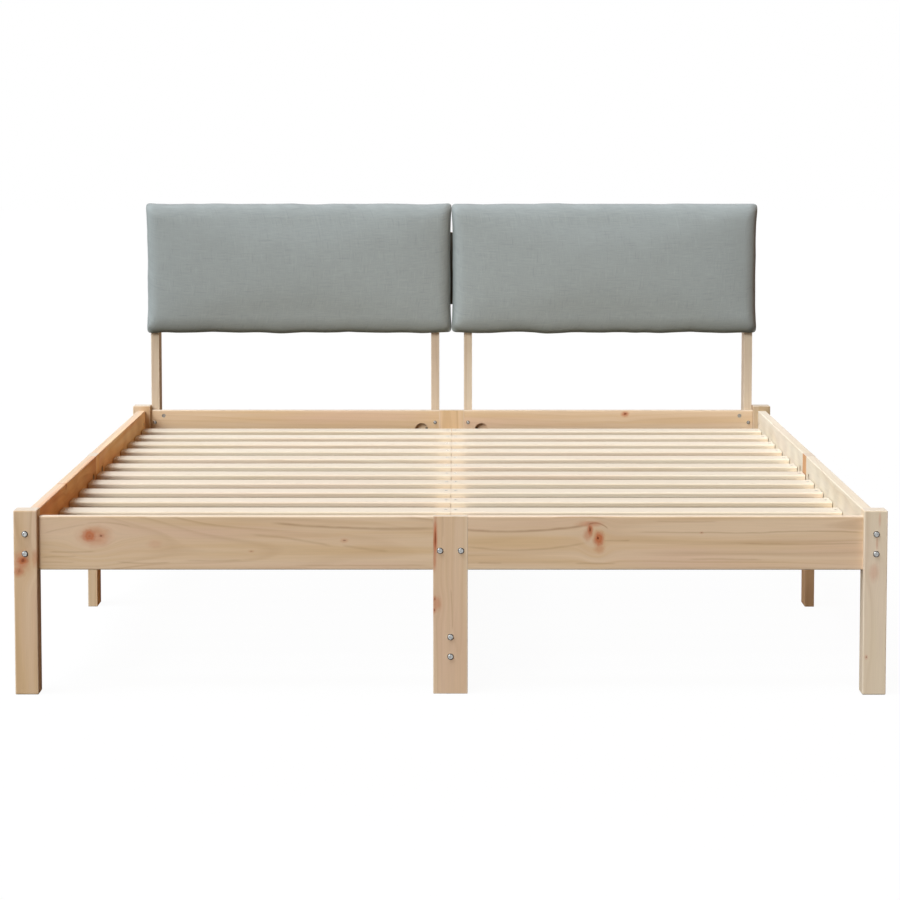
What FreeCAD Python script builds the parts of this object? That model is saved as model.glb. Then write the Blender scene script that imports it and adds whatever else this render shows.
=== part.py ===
import FreeCAD, Part
import math
import os
import re

import Sketcher

# Pine double bed frame with a two-pad headboard, as a flat-pack kit of separate pieces.
# Each side of the frame is two half rails that meet a flush board leg at mid-span.
# X runs across the bed, Y from the foot to the head and Z up, in millimetres.
# The origin is on the floor under the middle of the whole bed.

DRIVING_SIZES = (
    ("mattress_width", 1600, "clear width between the side rails"),
    ("mattress_length", 2000, "clear length between the end rails"),
    ("leg_side", 45, "side of a square corner leg"),
    ("leg_height", 355, "height of a corner leg"),
    ("leg_ease", 2.5, "rounding of a corner leg's edges"),
    ("leg_rise", 12.5, "how far a corner leg stands above the rails"),
    ("rail_height", 103, "height of a rail"),
    ("rail_thick", 21, "thickness of a rail and of the board legs"),
    ("rail_inset", 11, "how far a rail lies behind the outer face of the corner legs"),
    ("rail_ease", 2.5, "rounding of a rail's long edges"),
    ("board_width", 66, "width of the board legs, the beam and the stretcher"),
    ("board_ease", 1, "rounding of the edges of those boards"),
    ("stretcher_mid", 91, "height of the lower stretcher's middle line"),
    ("slat_drop", 42.5, "how far the slats' upper face lies below the top of the rails"),
    ("slat_thick", 13, "thickness of a slat"),
    ("slat_width", 70, "width of a slat"),
    ("slat_ease", 4, "rounding of a slat's long edges"),
    ("slat_count", 13, "rows of slats"),
    ("slat_margin", 47, "space between an end rail and the nearest slat"),
    ("slat_end_gap", 2, "space between a slat's outer end and the side rail"),
    ("slat_joint_gap", 1, "space between the two half slats of a row"),
    ("ledger_thick", 22, "thickness of the strips under the slat ends"),
    ("ledger_height", 30, "height of those strips"),
    ("ledger_end_gap", 5, "space between a ledger and the corner leg"),
    ("ledger_joint_gap", 1, "space between the two ledgers of a side"),
    ("post_thick", 21, "width of a headboard post, seen from the front"),
    ("post_depth", 66, "depth of a headboard post"),
    ("post_inner_x", 43, "distance of the inner posts from the middle"),
    ("post_leg_gap", 0.3, "space between an outer post and the corner leg"),
    ("post_top_drop", 40, "how far a post ends below the top of the pads"),
    ("pad_side_inset", 39.5, "how far a pad ends inside the outer face of the corner legs"),
    ("pad_height", 336, "height of a headboard pad"),
    ("pad_rise", 205.5, "how far the pads' lower edge lies above the top of the rails"),
    ("pad_thick", 50, "thickness of a pad with its board"),
    ("pad_gap", 5, "space between the two pads"),
    ("pad_round", 14, "rounding of a pad's edges"),
    ("pad_board_thick", 12, "thickness of the board inside a pad"),
    ("pad_board_margin", 16, "cover and foam around the edge of that board"),
    ("pad_clear", 0.3, "clearance between a pad and its neighbours"),
    ("joining_thick", 15, "thickness of the board that ties the inner posts together"),
    ("joining_height", 190, "height of that board"),
    ("joining_rise", 67, "how far that board starts above the pads' lower edge"),
    ("bolt_dia", 6, "diameter of every bolt, stud and rod"),
    ("bolt_clear", 0.4, "how much wider a bolt's hole is"),
    ("bolt_head_dia", 12, "diameter of a button head"),
    ("bolt_head_height", 3.3, "height of a button head"),
    ("bolt_socket", 4, "width across the flats of the hexagon socket"),
    ("bolt_overrun", 3, "how far a bolt reaches past its barrel nut"),
    ("head_recess", 6, "depth of a counterbore that hides a bolt head"),
    ("head_recess_dia", 15, "diameter of that counterbore"),
    ("nut_dia", 10, "diameter of a barrel nut"),
    ("nut_length", 16, "length of a barrel nut"),
    ("nut_setback", 34, "distance of a barrel nut from the end of its board"),
    ("nut_clear", 0.2, "how much wider a barrel nut's hole is"),
    ("side_bolt_pitch", 38, "height between the two bolts of a side rail"),
    ("end_bolt_pitch", 75, "height between the two bolts of an end rail"),
    ("beam_bolt_pitch", 40, "width between the two bolts of the beam"),
    ("stretcher_bolt_pitch", 38, "height between the two bolts of the stretcher"),
    ("pocket_radius", 18, "radius of the pocket for a rod's nut"),
    ("pocket_seat", 62, "distance of the pocket's flat seat from the middle of its board leg"),
    ("pocket_middle", 78, "distance of the pocket's middle from the same place"),
    ("pocket_depth", 18, "depth of the pocket"),
    ("flange_dia", 13, "diameter of a flange nut's flange"),
    ("flange_thick", 1.4, "thickness of that flange"),
    ("hex_flats", 10, "width across the flats of a flange nut"),
    ("hex_height", 5, "height of its hexagon"),
    ("rod_tip", 2, "how far a rod shows past its nut"),
    ("thread_clear", 0.1, "how much wider a nut's hole is than the thread"),
    ("screw_dia", 4, "diameter of a wood screw"),
    ("screw_head_dia", 8, "diameter of a countersunk head"),
    ("screw_head_height", 2.2, "height of a countersunk head"),
    ("screw_clear", 0.2, "how much wider a screw's hole is"),
    ("screw_bite", 16, "how far a wood screw holds in the second piece"),
    ("slat_screw_inset", 10, "distance of the slats' inner screws from the middle"),
    ("post_screw_dia", 5, "diameter of a post screw"),
    ("post_head_dia", 9, "diameter of a post screw's pan head"),
    ("post_head_height", 2.6, "height of that head"),
    ("post_screw_bite", 40, "how far a post screw holds in the post"),
    ("post_screw_pitch", 40, "height between the two screws of a post"),
    ("pad_bolt_margin", 36, "distance of the pad bolts from the ends of the pad"),
    ("pad_bolt_top_drop", 52, "distance of the upper pad bolts from the pad's top"),
    ("pad_bolt_bite", 10, "how far a pad bolt holds in the pad's board"),
    ("joining_screw_margin", 40, "distance of its screws from the joining board's ends"),
)

# Places that follow from the driving sizes, as formulas of their names.
HALF_WIDTH = "(mattress_width / 2 + rail_thick + rail_inset)"
FRAME_LENGTH = "(mattress_length + 2 * rail_thick + 2 * rail_inset)"
BEHIND_LEGS = "(post_depth + joining_thick - rail_inset)"
FRONT = f"(bolt_head_height / 2 - ({FRAME_LENGTH} + {BEHIND_LEGS}) / 2)"
BACK = f"({FRONT} + {FRAME_LENGTH})"
MIDDLE = f"({FRONT} + {FRAME_LENGTH} / 2)"
END_RAIL_MID = "(rail_inset + rail_thick / 2)"
SIDE_RAIL_X = "(mattress_width / 2 + rail_thick / 2)"
RAIL_TOP = "(leg_height - leg_rise)"
RAIL_MID = f"({RAIL_TOP} - rail_height / 2)"
SLAT_BASE = "(slat_top - slat_thick)"
BEAM_MID = f"({SLAT_BASE} - rail_thick / 2)"
SLAT_PITCH = "((mattress_length - 2 * slat_margin - slat_width) / (slat_count - 1))"
FIRST_SLAT = f"({FRONT} + rail_inset + rail_thick + slat_margin + slat_width / 2)"
LEDGER_X = "(mattress_width / 2 - ledger_thick / 2)"
LEDGER_MID = f"({SLAT_BASE} - ledger_height / 2)"
POST_FRONT = f"({BACK} - rail_inset)"
POST_BACK = f"({POST_FRONT} + post_depth)"
POST_BASE = f"({RAIL_TOP} - rail_height)"
POST_TOP = "(pad_bottom + pad_height - post_top_drop)"
OUTER_POST_X = f"({HALF_WIDTH} - leg_side - post_leg_gap - post_thick / 2)"
JOINING_WIDTH = "(2 * post_inner_x + post_thick)"

# Sizes that follow from the driving ones and have a name of their own in the sheet.
DERIVED_SIZES = (
    ("slat_top", f"={RAIL_TOP} - slat_drop", "height of the slats' upper face"),
    ("pad_width", f"={HALF_WIDTH} - pad_side_inset - pad_gap / 2", "width of a headboard pad"),
    ("pad_bottom", f"={RAIL_TOP} + pad_rise", "height of the pads' lower edge"),
    ("joining_bottom", "=pad_bottom + joining_rise", "height of the joining board's lower edge"),
)

SIDES = {"left": -1, "right": 1}
ENDS = {"front": -1, "rear": 1}
BOTH_WAYS = (-1, 1)

# Shares of a screw or bolt head's own height or width.
DOME_SHARE = 0.7
SOCKET_SHARE = 0.6
SLOT_SHARE = 0.28

doc = FreeCAD.newDocument("bed_frame")
sheet = doc.addObject("Spreadsheet::Sheet", "dims")
for row, (alias, size, meaning) in enumerate(DRIVING_SIZES + DERIVED_SIZES, start=1):
    sheet.set(f"A{row}", meaning)
    sheet.set(f"B{row}", str(size))
    sheet.setAlias(f"B{row}", alias)
doc.recompute()

nodes = []
bores = []


def formula(text):
    """Put the sheet's name in front of each size in a formula."""
    return re.sub(r"[a-z]\w*", r"dims.\g<0>", text)


def number(text):
    """Work out a formula from the sheet."""
    return float(sheet.evalExpression(formula(str(text))))


def point(x, y, z):
    """A point from three formulas."""
    return FreeCAD.Vector(number(x), number(y), number(z))


def bind_place(piece, low):
    """Tie a piece's lowest corner to three formulas."""
    for axis, text in zip("xyz", low):
        piece.setExpression(f"Placement.Base.{axis}", formula(text))


def draw_rectangle(sketch, width, depth):
    """A rectangle from the sketch's origin, with its two sides tied to formulas."""
    corners = [FreeCAD.Vector(*xy, 0) for xy in ((0, 0), (1, 0), (1, 1), (0, 1))]
    for here, there in zip(corners, corners[1:] + corners[:1]):
        sketch.addGeometry(Part.LineSegment(here, there), False)
    for line in range(4):
        sketch.addConstraint(Sketcher.Constraint("Coincident", line, 2, (line + 1) % 4, 1))
    for line in (0, 2):
        sketch.addConstraint(Sketcher.Constraint("Horizontal", line))
    for line in (1, 3):
        sketch.addConstraint(Sketcher.Constraint("Vertical", line))
    sketch.addConstraint(Sketcher.Constraint("Coincident", 0, 1, -1, 1))
    for name, line, text in (("width", 0, width), ("depth", 1, depth)):
        index = sketch.addConstraint(Sketcher.Constraint("Distance", line, 1))
        sketch.renameConstraint(index, name)
        sketch.setExpression(f"Constraints.{name}", formula(text))


def board(name, size, low, ease, along=None):
    """A planed board with eased edges.

    size and low are formulas along X, Y and Z for the sizes and the lowest corner.
    ease rounds every edge, or only those that run along one axis.
    """
    body = doc.addObject("PartDesign::Body", f"{name}_blank")
    plane = next(item for item in body.Origin.OriginFeatures if item.Role == "XY_Plane")
    sketch = body.newObject("Sketcher::SketchObject", f"{name}_section")
    sketch.AttachmentSupport = [(plane, "")]
    sketch.MapMode = "FlatFace"
    draw_rectangle(sketch, size[0], size[1])
    pad = body.newObject("PartDesign::Pad", f"{name}_pad")
    pad.Profile = sketch
    pad.setExpression("Length", formula(size[2]))
    doc.recompute()
    rounding = body.newObject("PartDesign::Fillet", f"{name}_ease")
    rounding.Base = (pad, edges_along(pad.Shape, along))
    rounding.setExpression("Radius", formula(ease))
    bind_place(body, low)
    doc.recompute()
    return body


def edges_along(shape, axis):
    """Names of a box's edges that run along an axis, or of all its edges."""
    names = []
    for index, edge in enumerate(shape.Edges, start=1):
        run = edge.Vertexes[1].Point - edge.Vertexes[0].Point
        if axis is None or abs(getattr(run, axis)) > 0.5 * run.Length:
            names.append(f"Edge{index}")
    return names


def keep(piece, label, solids=1):
    """Name a finished piece and put it on the list of nodes."""
    piece.Label = label
    nodes.append((piece, solids))


def solid_feature(name, shape):
    """A document object that holds a shape worked out from the sheet."""
    feature = doc.addObject("Part::Feature", name)
    feature.Shape = shape
    return feature


def drilled(label, blank, extra_cuts=()):
    """A blank with every hole of the fasteners that pass through it."""
    box = blank.Shape.BoundBox
    holes = [hole for hole in bores if hole.BoundBox.intersect(box)]
    tool = solid_feature(f"{label}_holes", Part.makeCompound(holes + list(extra_cuts)))
    piece = doc.addObject("Part::Cut", f"{label}_cut")
    piece.Base = blank
    piece.Tool = tool
    keep(piece, label)


ALONG_X = FreeCAD.Vector(1, 0, 0)
ALONG_Y = FreeCAD.Vector(0, 1, 0)
ALONG_Z = FreeCAD.Vector(0, 0, 1)


# Fasteners are drawn with their seat at the origin and their shank along +Z.

def hexagon(flats, height, base):
    """A hexagonal prism on +Z."""
    corner = flats / math.sqrt(3)
    angles = [turn * math.pi / 3 for turn in range(7)]
    ring = [FreeCAD.Vector(corner * math.cos(angle), corner * math.sin(angle), base) for angle in angles]
    return Part.Face(Part.makePolygon(ring)).extrude(ALONG_Z * height)


def rod(diameter, length, base=0):
    """A plain round bar on +Z."""
    return Part.makeCylinder(diameter / 2, length, ALONG_Z * base)


def domed_head(diameter, height):
    """A round head on the far side of its seat, with a rounded rim."""
    head = rod(diameter, height, -height)
    rim = [edge for edge in head.Edges if edge.Closed and edge.CenterOfMass.z < -height / 2]
    return head.makeFillet(DOME_SHARE * height, rim)


def button_bolt(length):
    """A bolt with a domed head and a hexagon socket."""
    height = number("bolt_head_height")
    head = domed_head(number("bolt_head_dia"), height)
    socket = hexagon(number("bolt_socket"), SOCKET_SHARE * height, -height)
    return head.fuse(rod(number("bolt_dia"), length)).removeSplitter().cut(socket)


def cross_recess(size, depth, top):
    """The cross slot of a screw head, cut down from its top."""
    slot = SLOT_SHARE * size
    arms = []
    for width, length in ((size, slot), (slot, size)):
        arms.append(Part.makeBox(width, length, depth, FreeCAD.Vector(-width / 2, -length / 2, top)))
    return arms[0].fuse(arms[1])


def countersunk_screw(length, grow=0.0):
    """A wood screw whose flat head is flush with its seat; grow widens it into its own hole."""
    head = (number("screw_head_dia") + grow) / 2
    shank = (number("screw_dia") + grow) / 2
    cone = Part.makeCone(head, shank, number("screw_head_height"))
    screw = cone.fuse(rod(2 * shank, length)).removeSplitter()
    if grow:
        return screw
    return screw.cut(cross_recess(head, SOCKET_SHARE * number("screw_head_height"), 0))


def pan_screw(length):
    """A wood screw with a rounded head that stands on its seat."""
    height = number("post_head_height")
    size = number("post_head_dia")
    screw = domed_head(size, height).fuse(rod(number("post_screw_dia"), length)).removeSplitter()
    return screw.cut(cross_recess(size / 2, SOCKET_SHARE * height, -height))


def barrel_nut():
    """A cross-drilled barrel nut along Z, centred on its thread, which runs along X."""
    length = number("nut_length")
    body = rod(number("nut_dia"), length, -length / 2)
    thread = number("bolt_dia + thread_clear") / 2
    across = number("nut_dia")
    return body.cut(Part.makeCylinder(thread, 2 * across, ALONG_X * -across, ALONG_X))


def flange_nut():
    """A hexagon nut with a flange, standing on its seat."""
    flange = rod(number("flange_dia"), number("flange_thick"))
    crown = hexagon(number("hex_flats"), number("hex_height"), number("flange_thick"))
    hole = rod(number("bolt_dia + thread_clear"), number("flange_thick + hex_height"))
    return flange.fuse(crown).cut(hole)


def aim(axis, side=None):
    """The turn that brings +Z to an axis and, if it is given, +X to a second one."""
    if side is None:
        return FreeCAD.Rotation(ALONG_Z, axis)
    return FreeCAD.Rotation(side, axis.cross(side), axis, "ZXY")


def placed(shape, where, axis, side=None):
    """A copy of a fastener at a place, pointing along an axis."""
    copy = shape.copy()
    copy.Placement = FreeCAD.Placement(where, aim(axis, side))
    return copy


def bore(diameter, depth, where, axis):
    """Add a round hole that every board it meets will get."""
    bores.append(Part.makeCylinder(diameter / 2, depth, where, axis))


def fastener_group(label, shapes):
    """Equal fasteners as one node of separate solids."""
    keep(solid_feature(label, Part.makeCompound(shapes)), label, len(shapes))


nuts = []


def add_nut(where, bolt_axis, nut_axis, open_half):
    """A barrel nut across a bolt, in a blind hole from the board face that nut_axis points away from."""
    nuts.append(placed(barrel_nut(), where, nut_axis, bolt_axis))
    half = number("nut_length / 2 + nut_clear / 2")
    bore(number("nut_dia + nut_clear"), open_half + half, where - nut_axis * open_half, nut_axis)


def side_rail_bolts():
    """Bolts through the corner legs into the ends of the side rails, and their barrel nuts."""
    length = number("leg_side + nut_setback + nut_dia / 2 + bolt_overrun")
    bolts = []
    for x in SIDES.values():
        for end, face in ((-1, FRONT), (1, BACK)):
            for up in BOTH_WAYS:
                inward = ALONG_Y * -end
                seat = point(f"{x} * {SIDE_RAIL_X}", face, f"{RAIL_MID} + {up} * side_bolt_pitch / 2")
                bolts.append(placed(button_bolt(length), seat, inward))
                bore(number("bolt_dia + bolt_clear"), length, seat, inward)
                nut = seat + inward * number("leg_side + nut_setback")
                add_nut(nut, inward, ALONG_X * x, number("rail_thick / 2"))
    fastener_group("side_rail_bolts", bolts)


def end_rail_bolts():
    """Bolts from the outer sides of the corner legs into the end rails, with hidden heads."""
    length = number("leg_side - head_recess + nut_setback + nut_dia / 2 + bolt_overrun")
    bolts = []
    for x in SIDES.values():
        for end, face in ((-1, f"{FRONT} + {END_RAIL_MID}"), (1, f"{BACK} - {END_RAIL_MID}")):
            for up in BOTH_WAYS:
                inward = ALONG_X * -x
                mouth = point(f"{x} * {HALF_WIDTH}", face, f"{RAIL_MID} + {up} * end_bolt_pitch / 2")
                seat = mouth + inward * number("head_recess")
                bolts.append(placed(button_bolt(length), seat, inward))
                bore(number("bolt_dia + bolt_clear"), length, seat, inward)
                bore(number("head_recess_dia"), number("head_recess"), mouth, inward)
                nut = mouth + inward * number("leg_side + nut_setback")
                add_nut(nut, inward, ALONG_Y * end, number("rail_thick / 2"))
    fastener_group("end_rail_bolts", bolts)


def centre_joint_places():
    """Bolt places of the beam and the stretcher as formulas, with the way their nuts run."""
    places = []
    for half in BOTH_WAYS:
        places.append((f"{half} * beam_bolt_pitch / 2", BEAM_MID, ALONG_Z))
        places.append(("0", f"stretcher_mid + {half} * stretcher_bolt_pitch / 2", ALONG_X))
    return places


def centre_bolts():
    """Bolts through the two end centre legs into the beam and the stretcher."""
    length = number("rail_thick + nut_setback + nut_dia / 2 + bolt_overrun")
    bolts = []
    for end, face in ((-1, f"{FRONT} + rail_inset"), (1, f"{BACK} - rail_inset")):
        inward = ALONG_Y * -end
        for x, z, nut_axis in centre_joint_places():
            seat = point(x, face, z)
            bolts.append(placed(button_bolt(length), seat, inward))
            bore(number("bolt_dia + bolt_clear"), length, seat, inward)
            nut = seat + inward * number("rail_thick + nut_setback")
            add_nut(nut, inward, nut_axis, number("rail_thick / 2"))
    fastener_group("centre_leg_bolts", bolts)


def centre_studs():
    """Studs through the middle centre leg that hold the half beams and half stretchers."""
    reach = number("rail_thick / 2 + nut_setback + nut_dia / 2 + bolt_overrun")
    studs = []
    for x, z, nut_axis in centre_joint_places():
        middle = point(x, MIDDLE, z)
        start = middle - ALONG_Y * reach
        studs.append(placed(rod(number("bolt_dia"), 2 * reach), start, ALONG_Y))
        bore(number("bolt_dia + bolt_clear"), 2 * reach, start, ALONG_Y)
        for end in ENDS.values():
            nut = middle + ALONG_Y * end * number("rail_thick / 2 + nut_setback")
            add_nut(nut, ALONG_Y, nut_axis, number("rail_thick / 2"))
    fastener_group("centre_studs", studs)


def rail_joint_places():
    """The four flush board legs: the middle of each joint, its run and the way into the bed."""
    places = []
    for end, y in ((-1, f"{FRONT} + {END_RAIL_MID}"), (1, f"{BACK} - {END_RAIL_MID}")):
        places.append((point("0", y, RAIL_MID), ALONG_X, ALONG_Y * -end))
    for x in SIDES.values():
        places.append((point(f"{x} * {SIDE_RAIL_X}", MIDDLE, RAIL_MID), ALONG_Y, ALONG_X * -x))
    return places


def nut_pocket(middle, run, inward):
    """A round pocket in a rail's inner face, with a flat seat on the side of the board leg."""
    radius = number("pocket_radius")
    face = middle + inward * number("rail_thick / 2")
    mouth = face + run * number("pocket_middle")
    disc = Part.makeCylinder(radius, number("pocket_depth"), mouth, inward * -1)
    past_seat = Part.makeCylinder(2 * radius, 4 * radius, face + run * number("pocket_seat"), run)
    return disc.common(past_seat)


def rail_joints():
    """A threaded rod through each flush board leg, with a nut in a pocket of each half rail."""
    reach = number("pocket_seat + flange_thick + hex_height + rod_tip")
    rods = []
    flange_nuts = []
    for middle, run, inward in rail_joint_places():
        start = middle - run * reach
        rods.append(placed(rod(number("bolt_dia"), 2 * reach), start, run))
        seat = number("pocket_seat")
        bore(number("bolt_dia + bolt_clear"), 2 * seat, middle - run * seat, run)
        for way in BOTH_WAYS:
            flange_nuts.append(placed(flange_nut(), middle + run * way * seat, run * way, ALONG_Z))
            bores.append(nut_pocket(middle, run * way, inward))
    fastener_group("rail_joint_rods", rods)
    fastener_group("rail_joint_nuts", flange_nuts)


def sink_screw(length, seat, axis):
    """A countersunk screw and its hole."""
    bores.append(placed(countersunk_screw(length, number("screw_clear")), seat, axis))
    return placed(countersunk_screw(length), seat, axis)


def slat_row_y(index):
    """The middle of a slat row, as a formula."""
    return f"({FIRST_SLAT} + {index} * {SLAT_PITCH})"


def slat_screws():
    """Screws through both ends of every half slat."""
    length = number("slat_thick + screw_bite")
    screws = []
    for index in range(int(number("slat_count"))):
        for x in SIDES.values():
            for away in ("slat_screw_inset", LEDGER_X):
                seat = point(f"{x} * {away}", slat_row_y(index), "slat_top")
                screws.append(sink_screw(length, seat, ALONG_Z * -1))
    fastener_group("slat_screws", screws)


def ledger_screws():
    """Screws through the ledgers into the side rails, midway between slats."""
    length = number("ledger_thick + screw_bite")
    last_row = int(number("slat_count")) - 1
    screws = []
    for x in SIDES.values():
        for index in range(0, last_row // 2, 2):
            for between in (index + 0.5, last_row - index - 0.5):
                seat = point(f"{x} * (mattress_width / 2 - ledger_thick)", slat_row_y(between), LEDGER_MID)
                screws.append(sink_screw(length, seat, ALONG_X * x))
    fastener_group("ledger_screws", screws)


def post_places():
    """The headboard posts: name and distance from the middle, with its sign."""
    places = []
    for side, x in SIDES.items():
        places.append((f"{side}_outer_post", f"{x} * {OUTER_POST_X}"))
        places.append((f"{side}_inner_post", f"{x} * post_inner_x"))
    return places


def post_screws():
    """Screws through the back rails into the posts."""
    length = number("rail_thick + post_screw_bite")
    screws = []
    for name, x in post_places():
        for up in BOTH_WAYS:
            seat = point(x, f"{POST_FRONT} - rail_thick", f"{RAIL_MID} + {up} * post_screw_pitch / 2")
            screws.append(placed(pan_screw(length), seat, ALONG_Y))
            bore(number("post_screw_dia + screw_clear"), length, seat, ALONG_Y)
    fastener_group("post_screws", screws)


def pad_bolts():
    """Bolts through the posts into the pads' boards, with hidden heads."""
    length = number("post_depth - head_recess + pad_bolt_bite")
    heights = ("pad_bottom + pad_bolt_margin", "pad_bottom + pad_height - pad_bolt_top_drop")
    bolts = []
    for name, x in post_places():
        for z in heights:
            mouth = point(x, POST_BACK, z)
            seat = mouth - ALONG_Y * number("head_recess")
            bolts.append(placed(button_bolt(length), seat, ALONG_Y * -1))
            bore(number("bolt_dia + bolt_clear"), length, seat, ALONG_Y * -1)
            bore(number("head_recess_dia"), number("head_recess"), mouth, ALONG_Y * -1)
    fastener_group("pad_bolts", bolts)


def joining_board_screws():
    """Screws through the joining board into the inner posts."""
    length = number("joining_thick + screw_bite")
    middle = "(joining_bottom + joining_height / 2)"
    off_middle = "(joining_height / 2 - joining_screw_margin)"
    screws = []
    for x in SIDES.values():
        for up in BOTH_WAYS:
            z = f"{middle} + {up} * {off_middle}"
            seat = point(f"{x} * post_inner_x", f"{POST_BACK} + joining_thick", z)
            screws.append(sink_screw(length, seat, ALONG_Y * -1))
    fastener_group("joining_board_screws", screws)


# The boards, each drilled for the fasteners that pass through it.

def corner_legs():
    """Four square legs."""
    for end, face in (("front", FRONT), ("rear", f"({BACK} - leg_side)")):
        for side, x in SIDES.items():
            low = (f"{x} * ({HALF_WIDTH} - leg_side / 2) - leg_side / 2", face, "0")
            name = f"{end}_{side}_leg"
            drilled(name, board(name, ("leg_side", "leg_side", "leg_height"), low, "leg_ease"))


def board_legs():
    """The flush legs at mid-span of the four rails, and the one under the middle of the slats."""
    for end, y in (("front", f"{FRONT} + rail_inset"), ("rear", f"{POST_FRONT} - rail_thick")):
        low = ("-board_width / 2", y, "0")
        name = f"{end}_centre_leg"
        drilled(name, board(name, ("board_width", "rail_thick", RAIL_TOP), low, "board_ease"))
    for side, x in SIDES.items():
        low = (f"{x} * {SIDE_RAIL_X} - rail_thick / 2", f"{MIDDLE} - board_width / 2", "0")
        name = f"{side}_middle_leg"
        drilled(name, board(name, ("rail_thick", "board_width", RAIL_TOP), low, "board_ease"))
    low = ("-board_width / 2", f"{MIDDLE} - rail_thick / 2", "0")
    blank = board("middle_centre_leg", ("board_width", "rail_thick", SLAT_BASE), low, "board_ease")
    drilled("middle_centre_leg", blank)


def end_rails():
    """Two half rails at the foot and two at the head."""
    length = f"({HALF_WIDTH} - leg_side - board_width / 2)"
    for end, y in (("front", f"{FRONT} + rail_inset"), ("rear", f"{POST_FRONT} - rail_thick")):
        for side, x in SIDES.items():
            low = (f"{x} * (board_width / 2 + {length} / 2) - {length} / 2", y, POST_BASE)
            name = f"{end}_{side}_rail"
            drilled(name, board(name, (length, "rail_thick", "rail_height"), low, "rail_ease", "x"))


def side_rails():
    """Two half rails on each side."""
    length = f"({FRAME_LENGTH} / 2 - leg_side - board_width / 2)"
    for side, x in SIDES.items():
        for end, y in ENDS.items():
            low = (f"{x} * {SIDE_RAIL_X} - rail_thick / 2",
                   f"{MIDDLE} + {y} * (board_width / 2 + {length} / 2) - {length} / 2", POST_BASE)
            name = f"{side}_{end}_side_rail"
            drilled(name, board(name, ("rail_thick", length, "rail_height"), low, "rail_ease", "y"))


def centre_beam():
    """The flat half beams under the slats and the half stretchers near the floor."""
    length = "(mattress_length / 2 - rail_thick / 2)"
    for end, y in ENDS.items():
        start = f"{MIDDLE} + {y} * (rail_thick / 2 + {length} / 2) - {length} / 2"
        name = f"{end}_centre_beam"
        low = ("-board_width / 2", start, f"{BEAM_MID} - rail_thick / 2")
        drilled(name, board(name, ("board_width", length, "rail_thick"), low, "board_ease", "y"))
        name = f"{end}_stretcher"
        low = ("-rail_thick / 2", start, "stretcher_mid - board_width / 2")
        drilled(name, board(name, ("rail_thick", length, "board_width"), low, "board_ease", "y"))


def ledgers():
    """The strips that carry the slat ends along the side rails."""
    length = f"({FRAME_LENGTH} / 2 - leg_side - ledger_end_gap - ledger_joint_gap / 2)"
    for side, x in SIDES.items():
        for end, y in ENDS.items():
            low = (f"{x} * {LEDGER_X} - ledger_thick / 2",
                   f"{MIDDLE} + {y} * (ledger_joint_gap / 2 + {length} / 2) - {length} / 2",
                   f"{SLAT_BASE} - ledger_height")
            name = f"{side}_{end}_ledger"
            drilled(name, board(name, ("ledger_thick", length, "ledger_height"), low, "board_ease", "y"))


def slat_rows():
    """Rows of two half slats, cut from one pattern piece and its mirror image."""
    length = "(mattress_width / 2 - slat_end_gap - slat_joint_gap / 2)"
    low = ("slat_joint_gap / 2", f"{slat_row_y(0)} - slat_width / 2", SLAT_BASE)
    pattern = board("half_slat", (length, "slat_width", "slat_thick"), low, "slat_ease", "x")
    holes = [hole for hole in bores if hole.BoundBox.intersect(pattern.Shape.BoundBox)]
    right = pattern.Shape.cut(Part.makeCompound(holes)).Solids[0]
    left = right.mirror(FreeCAD.Vector(0, 0, 0), ALONG_X)
    for index in range(int(number("slat_count"))):
        label = f"slat_row_{index + 1:02d}"
        pair = solid_feature(label, Part.makeCompound([left, right]))
        pair.setExpression("Placement.Base.y", formula(f"{index} * {SLAT_PITCH}"))
        keep(pair, label, 2)


def posts():
    """The four upright boards that carry the pads."""
    for name, x in post_places():
        low = (f"{x} - post_thick / 2", POST_FRONT, POST_BASE)
        size = ("post_thick", "post_depth", f"{POST_TOP} - {POST_BASE}")
        drilled(name, board(name, size, low, "board_ease"))


def pad_recess(name, low, size):
    """The hollow in a pad's back that its board sits in."""
    hollow = doc.addObject("Part::Box", f"{name}_recess")
    for side, text in zip(("Length", "Width", "Height"), size):
        hollow.setExpression(side, formula(f"{text} + 2 * pad_clear"))
    bind_place(hollow, [f"{text} - pad_clear" for text in low])
    doc.recompute()
    return hollow.Shape


def pads():
    """The two soft pads, each with the board that its cover is drawn over."""
    margins = "2 * pad_board_margin"
    board_size = (f"(pad_width - {margins})", "pad_board_thick", f"(pad_height - {margins})")
    for side, x in SIDES.items():
        middle = f"{x} * (pad_gap / 2 + pad_width / 2)"
        low = (f"({middle} - pad_width / 2 + pad_board_margin)", f"({POST_FRONT} - pad_board_thick)",
               "(pad_bottom + pad_board_margin)")
        name = f"{side}_pad_board"
        drilled(name, board(name, board_size, low, "board_ease"))
        recess = pad_recess(name, low, board_size)
        name = f"{side}_pad"
        size = ("pad_width", "pad_thick - pad_clear", "pad_height")
        blank = board(name, size, (f"{middle} - pad_width / 2", f"{POST_FRONT} - pad_thick", "pad_bottom"),
                      "pad_round")
        drilled(name, blank, [recess])


def joining_board():
    """The board across the backs of the inner posts that ties both halves together."""
    size = (JOINING_WIDTH, "joining_thick", "joining_height")
    low = (f"-{JOINING_WIDTH} / 2", POST_BACK, "joining_bottom")
    drilled("joining_board", board("joining_board", size, low, "board_ease"))


def check_document():
    """Stop if an object failed or a piece isn't the closed solids that it should be."""
    for item in doc.Objects:
        if "Invalid" in item.State or "Error" in item.State:
            raise RuntimeError(f"{item.Label}: {item.State}")
    for piece, solids in nodes:
        shape = piece.Shape
        if shape.isNull() or not shape.isValid() or len(shape.Solids) != solids:
            raise RuntimeError(f"{piece.Label}: shape isn't {solids} valid solids")
        if piece.TypeId == "Part::Cut" and shape.Volume >= piece.Base.Shape.Volume:
            raise RuntimeError(f"{piece.Label}: no hole was cut")


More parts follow.
